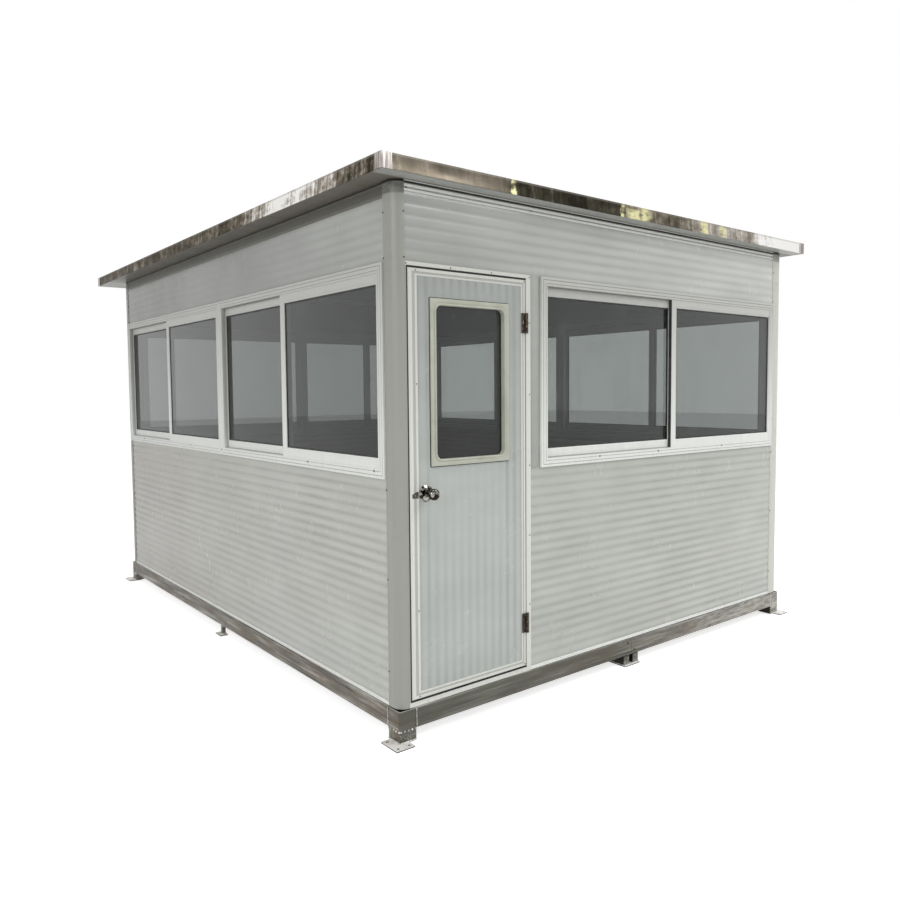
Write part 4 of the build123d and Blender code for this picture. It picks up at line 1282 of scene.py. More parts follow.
# --- base frame ----------------------------------------------------------
@dataclass
class BaseFrame(Assembly):
    """Welded ring of square tube on legs and foot plates, with the floor in it."""

    corner: float = 7 * MM
    wall: float = 4 * MM
    foot: float = 9.5 * MM
    bolts: tuple[Pair, ...] = ((-30 * MM, 133 * MM), (30 * MM, 84 * MM))
    bolt_depth: float = -0.2 * MM

    def build(self) -> None:
        """Builds the whole base."""
        self.tubes("base_beams_sides", self.corner)
        self.tubes("base_beams_ends", self.corner)
        self.tubes("corner_legs", self.corner, Run.UPRIGHT)
        self.tubes("middle_legs", 5 * MM, Run.UPRIGHT)
        self.tubes("floor_joists_long", 4 * MM)
        self.tubes("floor_joists_cross", 4 * MM)
        self.bench.soften("foot_plates", Stock.PLATE, 1.2)
        self.bench.soften("floor_deck", Stock.BOARD, 1.0)
        self.welds()
        self.splice()

    def tubes(self, node: str, radius: float, run: Run | None = None) -> None:
        """Replaces square tubes with round-cornered ones of the same size.

        Args:
            node: The node of tubes.
            radius: Outer corner radius.
            run: Direction of the tubes; the longest side if not given.
        """
        shape = Shape()
        for box in self.bench.solids(node):
            size, middle = box.size, box.centre
            axis = run.value if run else max(range(3), key=lambda a: size[a])
            first, second = (a for a in range(3) if a != axis)
            rows = []
            for inset, ends in ((0.0, (box.low, box.high)), (self.wall, (box.high, box.low))):
                outline = rounded(size[first] - 2 * inset, size[second] - 2 * inset, max(radius - inset, 1 * MM), 4)
                for end in ends:
                    points = [[middle[first] + a, middle[second] + b] for a, b in outline]
                    rows.append([(*point[:axis], end[axis], *point[axis:]) for point in points])
            shape.loops(rows, wrap=True)
        self.bench.replace(node, shape, Stock.STEEL)

    def welds(self) -> None:
        """Lays the beads at the corner tubes, the legs and the plates."""
        upright, level, foot = [], [], []
        beam = self.bench.extent("base_beams_ends")
        reach = self.bench.solids("corner_legs")[0].size.x
        for side, wall in self.bench.walls.items():
            length = self.bench.length if side in (Side.FRONT, Side.BACK) else beam.size.y

            def line(v: float, *points: Pair) -> list[Vector]:
                """Gives a line of points at one depth."""
                return [wall.matrix @ Vector((u, v, z)) for u, z in points]

            for u, near in ((reach, 0.0), (length - reach, length - reach)):
                run = (near + 6 * MM, near + reach - 6 * MM)
                upright.append(line(-0.4 * MM, (u, beam.low.z + 6 * MM), (u, beam.high.z - 5 * MM)))
                level.append(line(-0.4 * MM, *((k, beam.low.z + 1 * MM) for k in run)))
                foot.append(line(-1 * MM, *((k, self.foot) for k in run)))
        self.bench.weld("corner_tube_welds", upright, 2.4, 4.2)
        self.bench.weld("leg_welds", level, 4.9, 17.5)
        self.bench.weld("foot_plate_welds", foot, 4.6, 5.0)
        lines = []
        for box in self.bench.solids("middle_legs"):
            (x0, y0, _), (x1, y1, _) = box.low, box.high
            lines.append([(x, y, self.foot) for x, y in ((x0, y0), (x1, y0), (x1, y1), (x0, y1), (x0, y0))])
        self.bench.weld("middle_leg_welds", lines, 2.4, 4.4)

    def splice(self) -> None:
        """Bolts the two halves of the front and back beams together."""
        middle = self.bench.length / 2
        spots = [self.bench.walls[side].spot(middle + shift, self.bolt_depth, z)
                 for side in (Side.FRONT, Side.BACK) for shift, z in self.bolts]
        self.bench.screws("splice_bolts", spots, 7.5, hexagon=True)


# --- posts and walls -----------------------------------------------------
@dataclass
class CornerPosts(Assembly):
    """Round-cornered aluminium posts with a flange strip along each edge."""

    radius: float = 50 * MM
    deep: float = 53 * MM
    strip: float = 11 * MM
    groove: float = 1.1 * MM
    seal: float = 4 * MM
    screw_heights: tuple[float, ...] = (0.32, 0.748, 1.16, 2.20, 2.40)

    def build(self) -> None:
        """Builds the four posts, a black band drawn in at each post's foot as painted shade, and their screws."""
        shape, seal = Shape(), Shape()
        boxes = self.bench.solids("corner_posts")
        centre = sum((box.centre for box in boxes), Vector()) / len(boxes)
        turns = {(False, False): 0, (True, False): 90, (True, True): 180, (False, True): 270}
        for box in boxes:
            right, back = box.centre.x > centre.x, box.centre.y > centre.y
            corner = Vector((box.high.x if right else box.low.x, box.high.y if back else box.low.y, 0))
            place = Matrix.Translation(corner) @ Matrix.Rotation(math.radians(turns[right, back]), 4, "Z")
            shape.place = seal.place = place
            size, foot = box.size, box.low.z + self.seal
            legs = (size.x, size.y) if right == back else (size.y, size.x)
            shape.bar(self.section(*legs), Run.UPRIGHT, foot, box.high.z)
            # Painted shade: the foot of each post is a black band, drawn in a little, where it meets the beam.
            seal.bar(self.section(*legs, inset=2.5 * MM), Run.UPRIGHT, box.low.z, foot)
        self.bench.replace("corner_posts", shape, Stock.POST, crease=28)
        self.bench.settle("post_foot_seals", seal, Stock.BLACK)
        self.flange_screws()

    def section(self, leg_u: float, leg_v: float, inset: float = 0.0) -> list[Pair]:
        """Gives the outline of a post, its outer corner at the origin.

        Args:
            leg_u: Reach along the wall that starts at this corner.
            leg_v: Reach along the other wall.
            inset: How far the outline is drawn in.

        Returns:
            The outline.
        """
        r, deep, e, s, g = self.radius, self.deep, inset, self.strip, self.groove
        angles = [math.pi + math.pi / 2 * k / 16 for k in range(17)]
        arc = [(r + (r - e) * math.cos(angle), r + (r - e) * math.sin(angle)) for angle in angles]
        if e:
            inner = deep - e
            return arc + [(leg_u - e, e), (leg_u - e, inner), (inner, inner), (inner, leg_v - e), (e, leg_v - e)]
        lines_u, lines_v = [], []
        if leg_u - s > r + 2 * g:
            lines_u = [(leg_u - s - g, 0), (leg_u - s, g), (leg_u - s + g, 0)]
        if leg_v - s > r + 2 * g:
            lines_v = [(0, leg_v - s + g), (g, leg_v - s), (0, leg_v - s - g)]
        ends = [(leg_u - g, 0), (leg_u, g), (leg_u, deep), (deep, deep), (deep, leg_v), (g, leg_v), (0, leg_v - g)]
        return arc + lines_u + ends + lines_v

    def flange_screws(self) -> None:
        """Screws through the flange strips, except beside the door."""
        places = []
        for side, wall in self.bench.walls.items():
            posts = self.bench.on_wall("corner_posts", side)
            for u in (posts[0].high.x - self.strip / 2, posts[-1].low.x + self.strip / 2):
                places += [wall.spot(u, 5 * MM, z) for z in self.screw_heights
                           if not (side is Side.FRONT and u < 0.1 and z < 2.1)]
        self.bench.screws("post_flange_screws", places, 4.2)


@dataclass
class WallPanels(Assembly):
    """Ribbed sandwich panels with the tracks that hold them."""

    pitch: float = 50 * MM
    depth: float = 1.8 * MM
    upper_depth: float = 0.6
    least_width: float = 60 * MM
    screw_pitch: float = 0.62
    screw_inset: float = 14 * MM
    screw_place: Pair = (4 * MM, 14 * MM)
    track: tuple[Pair, ...] = ((0, 3.5), (0, 9), (1.6, 10), (1.6, 12.5), (0, 13.5), (0, 19), (1, 20), (53, 20),
                               (54, 19), (54, 3.5))
    # Outline of a black strip in the joint under each track, painted shade.
    track_shade: tuple[Pair, ...] = ((2, 0), (2, 3.5), (52, 3.5), (52, 0))
    end_channel: tuple[Pair, ...] = (
        (0, 0.8), (0, 9), (1.0, 10), (5.5, 10.6), (5.5, 17.6), (1.0, 18.2), (0, 19.2), (0, 29), (1.0, 30.0),
        (5.5, 30.6), (5.5, 35), (51, 35), (54, 33), (54, 0.8), (53, 0), (0.8, 0))
    side_channel: tuple[Pair, ...] = (
        (0, 0.8), (0, 14), (1.0, 15), (4, 15.6), (4, 52), (1.0, 52.6), (0, 53.5), (0, 59.2), (0.8, 60), (51, 60),
        (54, 58), (54, 0.8), (53, 0), (0.8, 0))

    def build(self) -> None:
        """Builds the panels, the tracks and the channels."""
        for side in Side:
            self.ribbed(f"lower_wall_{side.value}", Stock.PANEL, [side])
        self.ribbed("door_side_pier", Stock.PIER, [Side.FRONT], upright=True)
        self.ribbed("upper_walls", Stock.UPPER, Side, self.upper_depth)
        self.bench.replace("bottom_tracks", self.strips("bottom_tracks", self.track), Stock.TRIM)
        # Painted shade: a black strip in the joint under the tracks.
        self.bench.settle("bottom_track_seals", self.strips("bottom_tracks", self.track_shade), Stock.BLACK)
        self.channels("top_channels_piece", (Side.FRONT, Side.BACK), self.end_channel, Stock.TRIM, ["top_channels"])
        self.channels("side_channels_piece", (Side.LEFT, Side.RIGHT), self.side_channel, Stock.SIDE_TRIM)

    def ribbed(self, node: str, stock: Stock, sides: Iterable[Side], share: float = 1.0, upright: bool = False) -> None:
        """Replaces one node of panels.

        Args:
            node: The node.
            stock: Its finish.
            sides: The walls it is in.
            share: How deep the ribs are, as a share of the usual depth.
            upright: True if its ribs stand upright.
        """
        parts = []
        for wall, box in self.bench.straight(node, sides):
            if box.size.x >= self.least_width:
                across = box.size.x if upright else box.size.z
                mesh, place = self.bench.panel(box, max(1, round(across / self.pitch)), self.depth * share, Stock.PANEL,
                                               upright)
                parts.append((mesh, wall.matrix @ place))
        self.bench.replace(node, merged(parts, node), stock, crease=50)

    def strips(self, node: str, section: Sequence[Pair], sides: Iterable[Side] = Side) -> Shape:
        """Draws one section along every straight length of a node.

        Args:
            node: The node.
            section: Outline in millimetres of depth and height.
            sides: The walls.

        Returns:
            The shape.
        """
        shape = Shape()
        for wall, box in self.bench.straight(node, sides):
            shape.place = wall.matrix
            shape.bar(drawn(box.low.y, box.low.z, *section), Run.ALONG, box.low.x, box.high.x)
        return shape

    def channels(self, title: str, sides: Sequence[Side], section: Sequence[Pair], stock: Stock,
                 stands_for: Sequence[str] = ()) -> None:
        """Makes the ridged top channels of two walls, and screws them.

        Args:
            title: The piece's name.
            sides: The walls.
            section: Outline in millimetres of depth and height.
            stock: Its finish.
            stands_for: Nodes that it replaces.
        """
        places, inset, (v, z) = [], self.screw_inset, self.screw_place
        for wall, box in self.bench.straight("top_channels", sides):
            count = max(2, round(box.size.x / self.screw_pitch))
            us = (box.low.x + inset + (box.size.x - 2 * inset) * k / (count - 1) for k in range(count))
            places += [wall.spot(u, box.low.y + v, box.low.z + z) for u in us]
        face = self.bench.on_wall("top_channels", sides[0])[0].low.y
        mesh = self.bench.mark_groove_shade(self.strips("top_channels", section, sides), face, 3, 6)
        self.bench.settle(title, mesh, stock, stands_for=stands_for)
        self.bench.screws(title + "_screws", places, 3.8)


# --- windows -------------------------------------------------------------
@dataclass
class SlidingWindows(Assembly):
    """Two-sash sliders: grooved frames, sashes, seals and fixing screws."""

    frame_face: float = 45 * MM
    seal: float = 8.0 * MM
    seal_depth: float = 2.2 * MM
    sill_height: float = 33 * MM
    frame_section: tuple[Triple, ...] = (
        (0, 0, 1.2), (0, 1.2, 0), (0, 12, 0), (0, 13, 1.6), (0, 15.5, 1.6), (0, 16.5, 0), (1, -14, 0), (1, -13, 1.3),
        (1, -11, 1.3), (1, -10, 0), (1, -1.2, 0), (1, 0, 1.2), (1, 0, 24), (1, 6, 24), (1, 6, 25), (1, 0, 25),
        (1, 0, 69), (1, -1, 70), (0, 1, 70), (0, 0, 69))
    sash_section: tuple[Triple, ...] = (
        (0, 0, 0.9), (0, 0.9, 0), (1, -13, 0), (1, -12.2, 1.2), (1, -10.6, 1.2), (1, -9.8, 0), (1, -4, 0), (1, 0, 3.0),
        (1, 0, 17.0), (1, -4, 20), (0, 0.9, 20), (0, 0, 19.1))
    seal_section: tuple[Triple, ...] = ((0, 0, 0), (1, -0.8, 0), (1, 0, 0.8), (1, 0, 2.2), (0, 0, 2.2))
    front_screws: Triple = (1.350, 1.871, 2.534)
    back_screws: tuple[float, ...] = (0.45, 1.25, 2.02, 2.80)
    side_screws: tuple[float, ...] = (0.179, 0.825, 2.004, 2.565, 3.62)

    def build(self) -> None:
        """Builds the windows of every wall."""
        seals, brushes, screws = Shape(), Shape(), []
        for side in Side:
            screws += self.frames(side)
            self.sashes(side, seals, brushes)
        self.bench.dress("window_glass", Stock.GLASS)
        self.bench.settle("glazing_seals", seals, Stock.BLACK)
        self.bench.settle("meeting_brushes", brushes, Stock.BLACK)
        self.bench.screws("window_sill_screws", screws, 5.0)

    def frames(self, side: Side) -> list[Spot]:
        """Replaces the outer frames of one wall.

        Args:
            side: The wall.

        Returns:
            The places of its sill screws.
        """
        node, wall = f"window_frames_{side.value}", self.bench.walls[side]
        boxes = self.bench.on_wall(node, side)
        shape = Shape(wall.matrix)
        for box in boxes:
            shape.border(box, (self.frame_face,) * 4, self.frame_section)
        face = boxes[0].low.y
        self.bench.replace(node, self.bench.mark_groove_shade(shape, face, 1.25, 1.7), Stock.WHITE)
        length = self.bench.extent("base_beams_sides").size.y + 2 * self.bench.solids("corner_legs")[0].size.x
        along = {Side.FRONT: self.front_screws, Side.BACK: self.back_screws}
        sill = self.bench.extent(node).low.z + self.sill_height
        return [wall.spot(u, face, sill) for u in along.get(side, [length - reach for reach in self.side_screws])]

    def sashes(self, side: Side, seals: Shape, brushes: Shape) -> None:
        """Replaces the sashes of one wall and seals their panes.

        Args:
            side: The wall.
            seals: Gets the seals round the panes.
            brushes: Gets the brush strips at the meeting stiles.
        """
        node = f"window_sashes_{side.value}"
        shape = Shape(self.bench.walls[side].matrix)
        seals.place = brushes.place = shape.place
        panes = self.bench.on_wall("window_glass", side)
        for box in self.bench.on_wall(node, side):
            pane = next(p for p in panes if box.low.x < p.centre.x < box.high.x
                        and box.low.y < p.low.y and p.high.y < box.high.y)
            shape.border(box, box.margins(pane), self.sash_section)
            for v in (pane.low.y - self.seal_depth, pane.high.y):
                ring = Extent(Vector((pane.low.x, v, pane.low.z)),
                              Vector((pane.high.x, v + self.seal_depth, pane.high.z)))
                seals.border(ring, (self.seal,) * 4, self.seal_section)
            if box.low.y < 15 * MM:
                brushes.block((box.low.x - 1.2 * MM, box.low.y + 3 * MM, box.low.z + 3 * MM),
                              (box.low.x, box.high.y + 2 * MM, box.high.z - 3 * MM))
        self.bench.replace(node, shape, Stock.WHITE)


# --- door ----------------------------------------------------------------
@dataclass
class DoorFrame(Assembly):
    """Jambs, header and threshold round the leaf."""

    gap: float = 5.5 * MM
    thick: float = 3.4 * MM
    depths: Pair = (5.7 * MM, 44 * MM)
    inset: float = 0.1 * MM
    screw_insets: Pair = (5 * MM, 8 * MM)
    screw_depth: float = 5 * MM
    header_screws: float = 2.174
    jamb_screws: tuple[float, ...] = tuple(0.505 + 0.36 * k for k in range(5))

    def build(self) -> None:
        """Builds the frame, near-black strips that paint the shade in the gaps round the leaf, and its screws."""
        self.bench.soften("door_jambs", Stock.EDGING, 1.0)
        self.bench.soften("door_header", Stock.EDGING, 1.2)
        self.threshold()
        self.bench.soften("lock_strike", Stock.CHROME, 0.4)
        self.seals()
        jambs = self.bench.on_wall("door_jambs")
        left, right = jambs[0].low.x + self.screw_insets[0], jambs[1].high.x - self.screw_insets[1]
        places = [(left + (right - left) * k / 3, self.header_screws) for k in range(4)]
        places += [(right, z) for z in self.jamb_screws]
        self.bench.screws("door_frame_screws", [self.bench.front.spot(u, self.screw_depth, z) for u, z in places], 3.4)

    def seals(self) -> None:
        """Lays thin near-black strips on the faces round the leaf, painted shade for the gaps, and pale strips beside
        them.
        """
        jamb = self.bench.on_wall("door_jambs")[0]
        low, high = self.bench.extent("door_threshold").high.z, self.bench.extent("door_header").low.z
        leaf = self.bench.door_extent("door_stiles")
        thick, inset, (v0, v1) = self.thick, self.inset, self.depths
        u0, u1, face = leaf.low.x - self.gap, leaf.high.x + self.gap, jamb.low.y
        shape, strip, cover = (Shape(self.bench.front.matrix) for _ in range(3))
        shape.block((u0, v0, high - thick), (u1, v1, high))
        shape.block((u0, v0, low), (u1, v1, low + thick))
        shape.block((u0 + inset, v0 + inset, low + thick - 3 * inset),
                    (u0 + thick, v1 - inset, high - thick + 3 * inset))
        shape.block((u0 - thick + inset, face - 7 * inset, low + inset),
                    (u0 + 5 * inset, face + 2 * inset, high - inset))
        for z0, z1 in ((high - 4 * inset, high + thick), (low - thick, low + 4 * inset)):
            shape.block((u0 - thick, face - 8 * inset, z0), (u1 - 3 * inset, face + inset, z1))
        strip.block((u1 - thick, v0 + inset, low + thick), (u1 - inset, v1 - inset, high - thick))
        cover.block((jamb.low.x, face - 6 * inset, low), (u0 - thick, face, high))
        # Painted shade: near-black strips in the gaps round the leaf.
        self.bench.settle("door_frame_seals", shape, Stock.GAP)
        self.bench.settle("hinge_jamb_strip", strip, Stock.POST)
        self.bench.settle("lock_jamb_cover", cover, Stock.POST)

    def threshold(self) -> None:
        """Replaces the threshold with a ridged plate."""
        box = self.bench.door_extent("door_threshold")
        v, back, z, top = box.low.y, box.high.y, box.low.z, box.high.z
        outline = drawn(v, z, (0, 3), (0, 13), (1.4, 14), (1.4, 16), (0, 17), (0, 27)) + [(v + 2 * MM, top)]
        for k in range(5):
            outline += drawn(v + (8 + 9 * k) * MM, top, (0, 0), (1, -1.5), (3, -1.5), (4, 0))
        outline += drawn(back, top, (-1, 0), (0, -1)) + [(back, z), (v + 3 * MM, z)]
        shape = Shape(self.bench.front.matrix).bar(outline, Run.ALONG, box.low.x, box.high.x)
        self.bench.replace("door_threshold", shape, Stock.EDGING)


@dataclass
class DoorLeaf(Assembly):
    """Edged ribbed leaf with its moulded window."""

    ribs: int = 13
    rib_depth: float = 1.8 * MM
    sight: Pair = (418 * MM, 708 * MM)
    sight_radius: float = 31 * MM
    face: float = 31 * MM
    bore: float = 6.5 * MM
    lock_screws: float = 43 * MM
    hinge_screws: float = 8.5 * MM
    end_screws: float = 10 * MM
    stile_screws: Pair = (1.64, 0.60)
    edging: tuple[Triple, ...] = (
        (0, 0, 2.0), (0, 0.8, 1.2), (0.16, 0, 1.2), (0.18, 0, 0), (0.44, 0, 0), (0.46, 0, 1.8), (0.73, 0, 1.8),
        (0.75, 0, 0), (1, -0.8, 0), (1, 0, 1.0), (1, 0, 39), (1, -1, 40), (0, 1.2, 40), (0, 0, 38.8))

    def build(self) -> None:
        """Builds the leaf."""
        self.leaf = self.bench.door_extent("door_stiles", "door_rails")
        self.panel_box = self.bench.door_extent("door_panel")
        self.glass_box = self.bench.door_extent("door_glass")
        self.edges()
        self.panel()
        self.mouldings()
        self.bench.dress("door_glass", Stock.GLASS)

    def edges(self) -> None:
        """Replaces stiles and rails with a grooved edging, and adds its screws and a black strip on its lock edge,
        painted shade for the gap.
        """
        leaf, front = self.leaf, self.bench.front
        shape = Shape(front.matrix).border(leaf, leaf.margins(self.panel_box), self.edging)
        self.bench.settle("door_edging", self.bench.mark_groove_shade(shape, leaf.low.y, 1.45, 2.3), Stock.EDGING, Body.DOOR,
                          ["door_stiles", "door_rails"])
        lock, hinge = leaf.low.x + self.lock_screws, leaf.high.x - self.hinge_screws
        head, foot = leaf.high.z - self.end_screws, leaf.low.z + self.end_screws
        places = [(lock, head), (hinge, head), (lock, foot), (hinge, foot)] + [(lock, z) for z in self.stile_screws]
        spots = [front.spot(u, leaf.low.y + 0.2 * MM, z) for u, z in places]
        self.bench.screws("door_edging_screws", spots, 3.4, Body.DOOR)
        # Painted shade: a black strip on the leaf's lock edge, where the gap is seen.
        seal = Shape(front.matrix).block((leaf.low.x - 1.2 * MM, leaf.low.y + 3 * MM, leaf.low.z + 2 * MM),
                                         (leaf.low.x, leaf.high.y - 2 * MM, leaf.high.z - 2 * MM))
        self.bench.settle("door_edge_seal", seal, Stock.BLACK, Body.DOOR, bevel=0.3 * MM)

    def panel(self) -> None:
        """Replaces the leaf's panel with a ribbed one, cut for the glass and the spindle."""
        box, glass = self.panel_box, self.glass_box
        mesh, place = self.bench.panel(box, self.ribs, self.rib_depth, Stock.LEAF, upright=True)
        mesh.transform(place)
        edge, past = 2 * MM, 10 * MM
        cutter = Shape().block((glass.low.x - edge, box.low.y - past, glass.low.z - edge),
                               (glass.high.x + edge, box.high.y + past, glass.high.z + edge))
        knob = self.bench.door_extent("door_knob").centre
        cutter.turned([(self.bore, 0), (self.bore, 60 * MM)], Vector((knob.x, box.low.y - past, knob.z)), 1.0, 24)
        body, tool = linked("blank", mesh), linked("tool", cutter.mesh("tool"))
        cut = body.modifiers.new("cut", "BOOLEAN")
        cut.object, cut.operation, cut.solver = tool, "DIFFERENCE", "EXACT"
        result = plain(body)
        for item in (body, tool):
            bpy.data.objects.remove(item)
        result.transform(self.bench.front.matrix)
        self.bench.replace("door_panel", result, Stock.LEAF, Body.DOOR, crease=50)

    def ring(self, grow: float, radius: float, depth: float) -> list[Triple]:
        """Gives a loop round the leaf's window.

        Args:
            grow: How far it stands outside the sight line.
            radius: Its corner radius.
            depth: Its depth in the wall.

        Returns:
            The loop.
        """
        outline = rounded(self.sight[0] + 2 * grow, self.sight[1] + 2 * grow, radius, 10)
        middle = self.glass_box.centre
        return [(middle.x + a, depth, middle.z + b) for a, b in outline]

    def mouldings(self) -> None:
        """Replaces the two mouldings with smooth ones, square outside and round inside, seals the pane, and lays a
        black ring round the outer moulding's edge as painted shade.
        """
        glass, leaf, r, face = self.glass_box, self.leaf, self.sight_radius, self.face
        front = in_metres((0, 2, 0), (0, 2, 8), (-2, 1.5, 10))
        middle = in_metres((17, 8, 10), (13, 34, 8), (11, 36, 7), (9, 36, 7.5))
        inner = in_metres((7.5, 4, 11.5), (4, 3, 12), (0.8, 1, 10.5), (0, 0, 8))
        rows = [(face + grow, radius, reach) for grow, radius, reach in front] + middle
        rows += [(grow, r + more, reach) for grow, more, reach in inner]
        shape, seal = Shape(self.bench.front.matrix), Shape(self.bench.front.matrix)
        for start, pane, way in ((leaf.low.y, glass.low.y, -1.0), (leaf.high.y, glass.high.y, 1.0)):
            loops = [self.ring(grow, radius, start + way * reach) for grow, radius, reach in rows]
            loops += [self.ring(0.0, r, pane), self.ring(12 * MM, 10 * MM, pane), self.ring(12 * MM, 10 * MM, start)]
            shape.loops(loops, wrap=True)
        self.bench.replace("door_window_mouldings", shape, Stock.CREAM, Body.DOOR, crease=30)
        for v0, v1, outer, inside, radius in (
                (glass.low.y - 3 * MM, glass.low.y, 0.0, -2.5 * MM, r),
                (glass.high.y, glass.high.y + 3 * MM, 0.0, -2.5 * MM, r),
                # Painted shade: a black ring round the outer moulding's edge.
                (leaf.low.y - 1.2 * MM, leaf.low.y + 2.4 * MM, face + 4 * MM, face - 1 * MM, -face + 3 * MM)):
            seal.loops([self.ring(grow, radius + grow, v)
                        for grow, v in ((outer, v0), (outer, v1), (inside, v1), (inside, v0))], wrap=True)
        self.bench.settle("door_glass_seal", seal, Stock.BLACK, Body.DOOR)


@dataclass
class DoorHardware(Assembly):
    """Butt hinges, knob, roses and latch tab."""

    rose: tuple[Pair, ...] = (
        (12, 0), (39, 0), (39, 2), (37.6, 3.2), (31, 4.4), (29, 6.4), (24, 7.7), (17, 8), (12, 7.4))
    knob_section: tuple[Pair, ...] = (
        (5, 0), (5, 20), (11, 21.5), (11, 30), (10, 38), (11.5, 43), (17, 47), (23.6, 51), (26.4, 56), (27, 62),
        (26.4, 69), (24.6, 74), (21, 77.5), (15, 79.6), (9, 80.0), (8.4, 79.0), (7.8, 79.0), (7.4, 81.2), (3, 81.6))
    shank: float = 20.0
    hinge_screw: Pair = (11 * MM, 3 * MM)
    hinge_steps: Triple = (-36, 0, 36)
    guard: tuple[Pair, ...] = ((0, -9), (4, -13), (34, -14), (34, 16), (20, 15), (9, 9), (0, 6))
    guard_place: Pair = (12 * MM, -6 * MM)
    guard_thick: float = 1.6 * MM

    def build(self) -> None:
        """Builds the hardware."""
        self.bench.soften("hinge_door_halves", Stock.HINGE, 0.5, Body.DOOR)
        self.bench.soften("hinge_frame_halves", Stock.HINGE, 0.5)
        places = []
        for box in self.bench.on_wall("hinge_door_halves"):
            u, v = box.low.x + self.hinge_screw[0], box.high.y - self.hinge_screw[1]
            places += [self.bench.front.spot(u, v, box.centre.z + step * MM) for step in self.hinge_steps]
        self.bench.screws("hinge_door_halves_screws", places, 3.6, Body.DOOR, Stock.CHROME)
        self.roses()
        self.knob()
        self.latch_guard()

    def latch_guard(self) -> None:
        """Small steel tongue on the lock stile between the rose and the door's edge."""
        leaf, knob = self.bench.door_extent("door_stiles"), self.bench.door_extent("door_knob")
        u, z = leaf.low.x + self.guard_place[0], knob.centre.z + self.guard_place[1]
        face = leaf.low.y - self.guard_thick
        shape = Shape(self.bench.front.matrix).bar(drawn(u, z, *self.guard), Run.DEPTH, face, leaf.low.y)
        self.bench.settle("latch_guard", shape, Stock.SCREW, Body.DOOR, bevel=0.5 * MM)
        spot = self.bench.front.spot(u + 17 * MM, face, z)
        self.bench.screws("latch_guard_screw", [spot], 3.4, Body.DOOR, Stock.CHROME)

    def roses(self) -> None:
        """Replaces the roses with stepped round ones."""
        shape = Shape(self.bench.front.matrix)
        for box in self.bench.on_wall("knob_roses"):
            outside = box.centre.y < 20 * MM
            base = Vector((box.centre.x, box.high.y if outside else box.low.y, box.centre.z))
            shape.turned(in_metres(*self.rose), base, -1.0 if outside else 1.0, wrap=True)
        self.bench.replace("knob_roses", shape, Stock.CHROME, Body.DOOR)

    def knob(self) -> None:
        """Replaces the knob with a turned one, with a key plug outside and a button inside."""
        box = self.bench.door_extent("door_knob")
        shape = Shape(self.bench.front.matrix)
        fit = box.size.y / 2 / ((self.knob_section[-1][1] + self.shank) * MM)
        rows = [(radius * MM, (reach + self.shank) * MM * fit) for radius, reach in self.knob_section]
        for way in (-1.0, 1.0):
            shape.turned(rows, box.centre, way)
        self.bench.replace("door_knob", shape, Stock.CHROME, Body.KNOB, crease=30)


